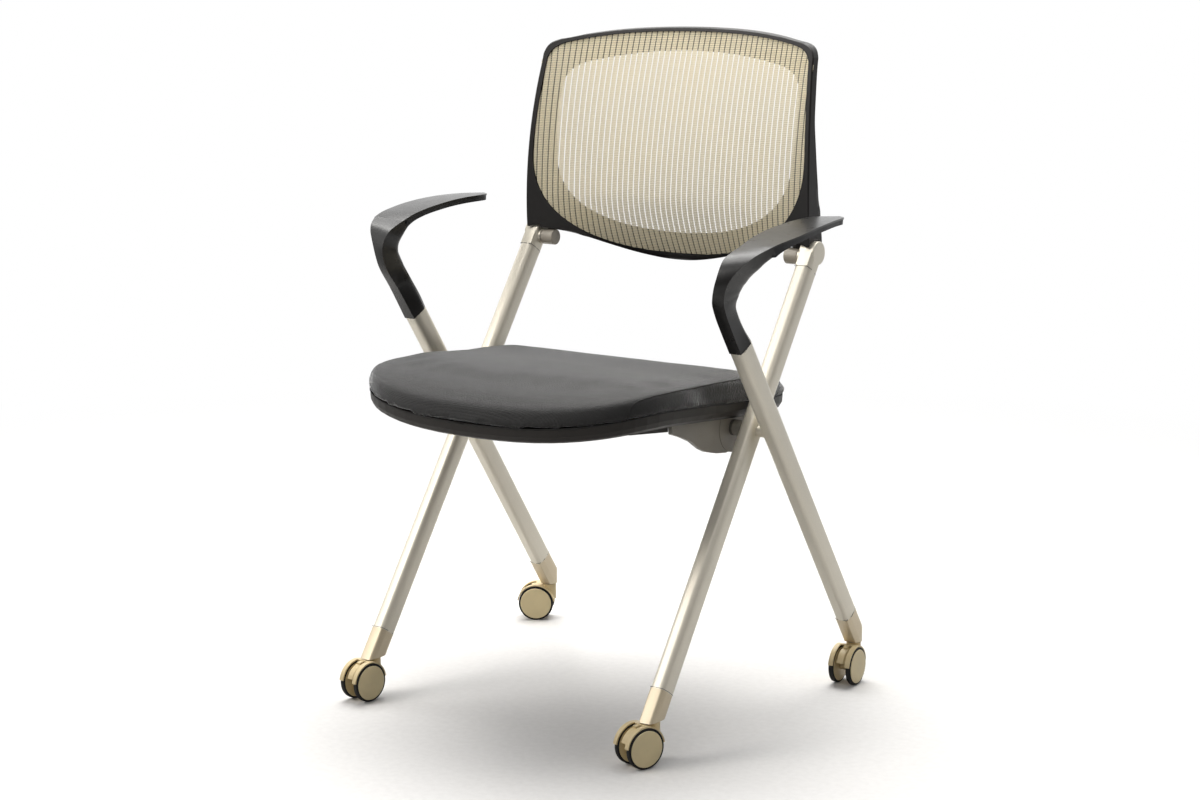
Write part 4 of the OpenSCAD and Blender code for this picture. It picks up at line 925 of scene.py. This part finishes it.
for joint in frame["joints"]:
    kind, _, wheel = joint["name"].partition("_")
    if kind == "spin":
        caster_low, caster_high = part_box("caster_" + wheel[:-2] + "_axle")
        tyre_lip("_" + wheel, Vector(joint["axis"]).normalized(), (caster_low + caster_high) / 2)

# Stage: a white surround, and a pale floor that fades to white and throws little light back
FLOOR_SIZE, FLOOR_CELLS = 30, 24
FLOOR_COLOUR, FLOOR_SPECK_COLOUR = (0.80, 0.79, 0.775), (0.76, 0.75, 0.735)
FLOOR_GIVEN_COLOUR = (0.3, 0.3, 0.3)
FADE_RADII = (0.75, 2.4)
SOFT_COLOUR, SOFT_STRENGTH = (0.93, 0.95, 1), 0.3
SHINE_FROM, SHINE_RANGE, SHINE_STRENGTHS = (-0.5, 0.3, 0.8), (-0.25, 0.65), (0.15, 1.7)


def build_floor():
    bpy.ops.mesh.primitive_grid_add(x_subdivisions=FLOOR_CELLS, y_subdivisions=FLOOR_CELLS, size=FLOOR_SIZE)
    floor = bpy.context.object
    floor.name = "floor"
    look = Surface("floor_pale", FLOOR_COLOUR, 0.9)
    look.tint(look.noise(size_mm=9, detail=4), FLOOR_SPECK_COLOUR)
    look.bump(look.noise(size_mm=4, detail=4), depth_mm=0.5, strength=0.3)
    x, y, _ = look.axes()
    radius = look.math("SQRT", look.math("ADD", look.math("MULTIPLY", x, x), look.math("MULTIPLY", y, y)))
    far = ramp(look.tree, radius, FADE_RADII, smooth=True)
    rays = new_node(look.tree, "ShaderNodeLightPath")
    seen = look.math("MAXIMUM", rays.outputs["Is Camera Ray"], rays.outputs["Is Glossy Ray"])
    seen = look.math("MAXIMUM", seen, rays.outputs["Is Transmission Ray"])
    given = new_node(look.tree, "ShaderNodeMix", data_type="RGBA")
    given.inputs[MIX_SECOND].default_value = (*FLOOR_GIVEN_COLOUR, 1)
    look.link(rays.outputs["Is Diffuse Ray"], given.inputs[0])
    look.link(look.shader.inputs["Base Color"].links[0].from_socket, given.inputs[MIX_FIRST])
    look.link(given.outputs[MIX_RESULT], look.shader.inputs["Base Color"])
    glow = new_node(look.tree, "ShaderNodeEmission")
    mix = new_node(look.tree, "ShaderNodeMixShader")
    look.link(look.math("MULTIPLY", seen, far), mix.inputs[0])
    look.link(look.shader.outputs[0], mix.inputs[1])
    look.link(glow.outputs[0], mix.inputs[2])
    look.link(mix.outputs[0], look.tree.nodes["Material Output"].inputs["Surface"])
    floor.data.materials.append(look.mat)


def build_surround():
    """Soft light for the object, white for the eye, and a bright upper left for what shines."""
    world = bpy.data.worlds.new("surround")
    scene.world = world
    world.use_nodes = True
    tree = world.node_tree
    soft = tree.nodes["Background"]
    soft.inputs["Color"].default_value = (*SOFT_COLOUR, 1)
    soft.inputs["Strength"].default_value = SOFT_STRENGTH
    white = new_node(tree, "ShaderNodeBackground")
    white.inputs["Color"].default_value = (1, 1, 1, 1)
    shine = new_node(tree, "ShaderNodeBackground")
    place = new_node(tree, "ShaderNodeTexCoord")
    toward = new_node(tree, "ShaderNodeVectorMath", operation="DOT_PRODUCT")
    toward.inputs[1].default_value = SHINE_FROM
    tree.links.new(place.outputs["Generated"], toward.inputs[0])
    strength = ramp(tree, toward.outputs["Value"], SHINE_RANGE, SHINE_STRENGTHS, smooth=True)
    tree.links.new(strength, shine.inputs["Strength"])
    rays = new_node(tree, "ShaderNodeLightPath")
    last = soft.outputs[0]
    for kind, light in (("Is Glossy Ray", shine), ("Is Camera Ray", white), ("Is Transmission Ray", white)):
        mix = new_node(tree, "ShaderNodeMixShader")
        tree.links.new(rays.outputs[kind], mix.inputs[0])
        tree.links.new(last, mix.inputs[1])
        tree.links.new(light.outputs[0], mix.inputs[2])
        last = mix.outputs[0]
    tree.links.new(last, tree.nodes["World Output"].inputs[0])


# Lights: name, place, size, power in watts and colour, all turned to the chair's middle
LIGHT_TARGET = Vector((0, 0, 0.4))
LIGHTS = (
    ("overhead", (-0.5, 0.7, 2.7), (2.6, 2.2), 126, (1, 0.99, 0.97)),
    ("front_left", (-1.7, -2.1, 2.3), (1.4, 1.4), 42, (1, 0.97, 0.93)),
    ("right_side", (2.6, -0.2, 1.5), (1.0, 1.6), 4, (1, 0.98, 0.95)),
)


def area_light(name, place, size, power, colour):
    data = bpy.data.lights.new(name, "AREA")
    data.shape = "RECTANGLE"
    data.size, data.size_y = size
    data.energy = power
    data.color = colour
    lamp = bpy.data.objects.new(name, data)
    scene.collection.objects.link(lamp)
    lamp.location = place
    lamp.rotation_euler = (LIGHT_TARGET - Vector(place)).to_track_quat("-Z", "Y").to_euler()


build_floor()
build_surround()
for light_row in LIGHTS:
    area_light(*light_row)

# Camera at the photograph's angle, with its angles in degrees and its lens in millimetres
AZIMUTH, ELEVATION, CAMERA_PLACE = 35.65, 10.47, Vector((1.6263, -2.2503, 0.9007))
LENS, SENSOR_W, CLIP_END = 66.204, 36, 60
camera_data = bpy.data.cameras.new("camera")
camera_data.lens = LENS
camera_data.sensor_width = SENSOR_W
camera_data.clip_end = CLIP_END
camera = bpy.data.objects.new("camera", camera_data)
scene.collection.objects.link(camera)
tilted = Matrix.Rotation(math.radians(90 - ELEVATION), 4, "X")
turned = Matrix.Rotation(math.radians(AZIMUTH), 4, "Z")
camera.matrix_world = Matrix.Translation(CAMERA_PLACE) @ turned @ tilted
scene.camera = camera
scene.view_settings.view_transform = "Standard"

bpy.context.view_layer.update()
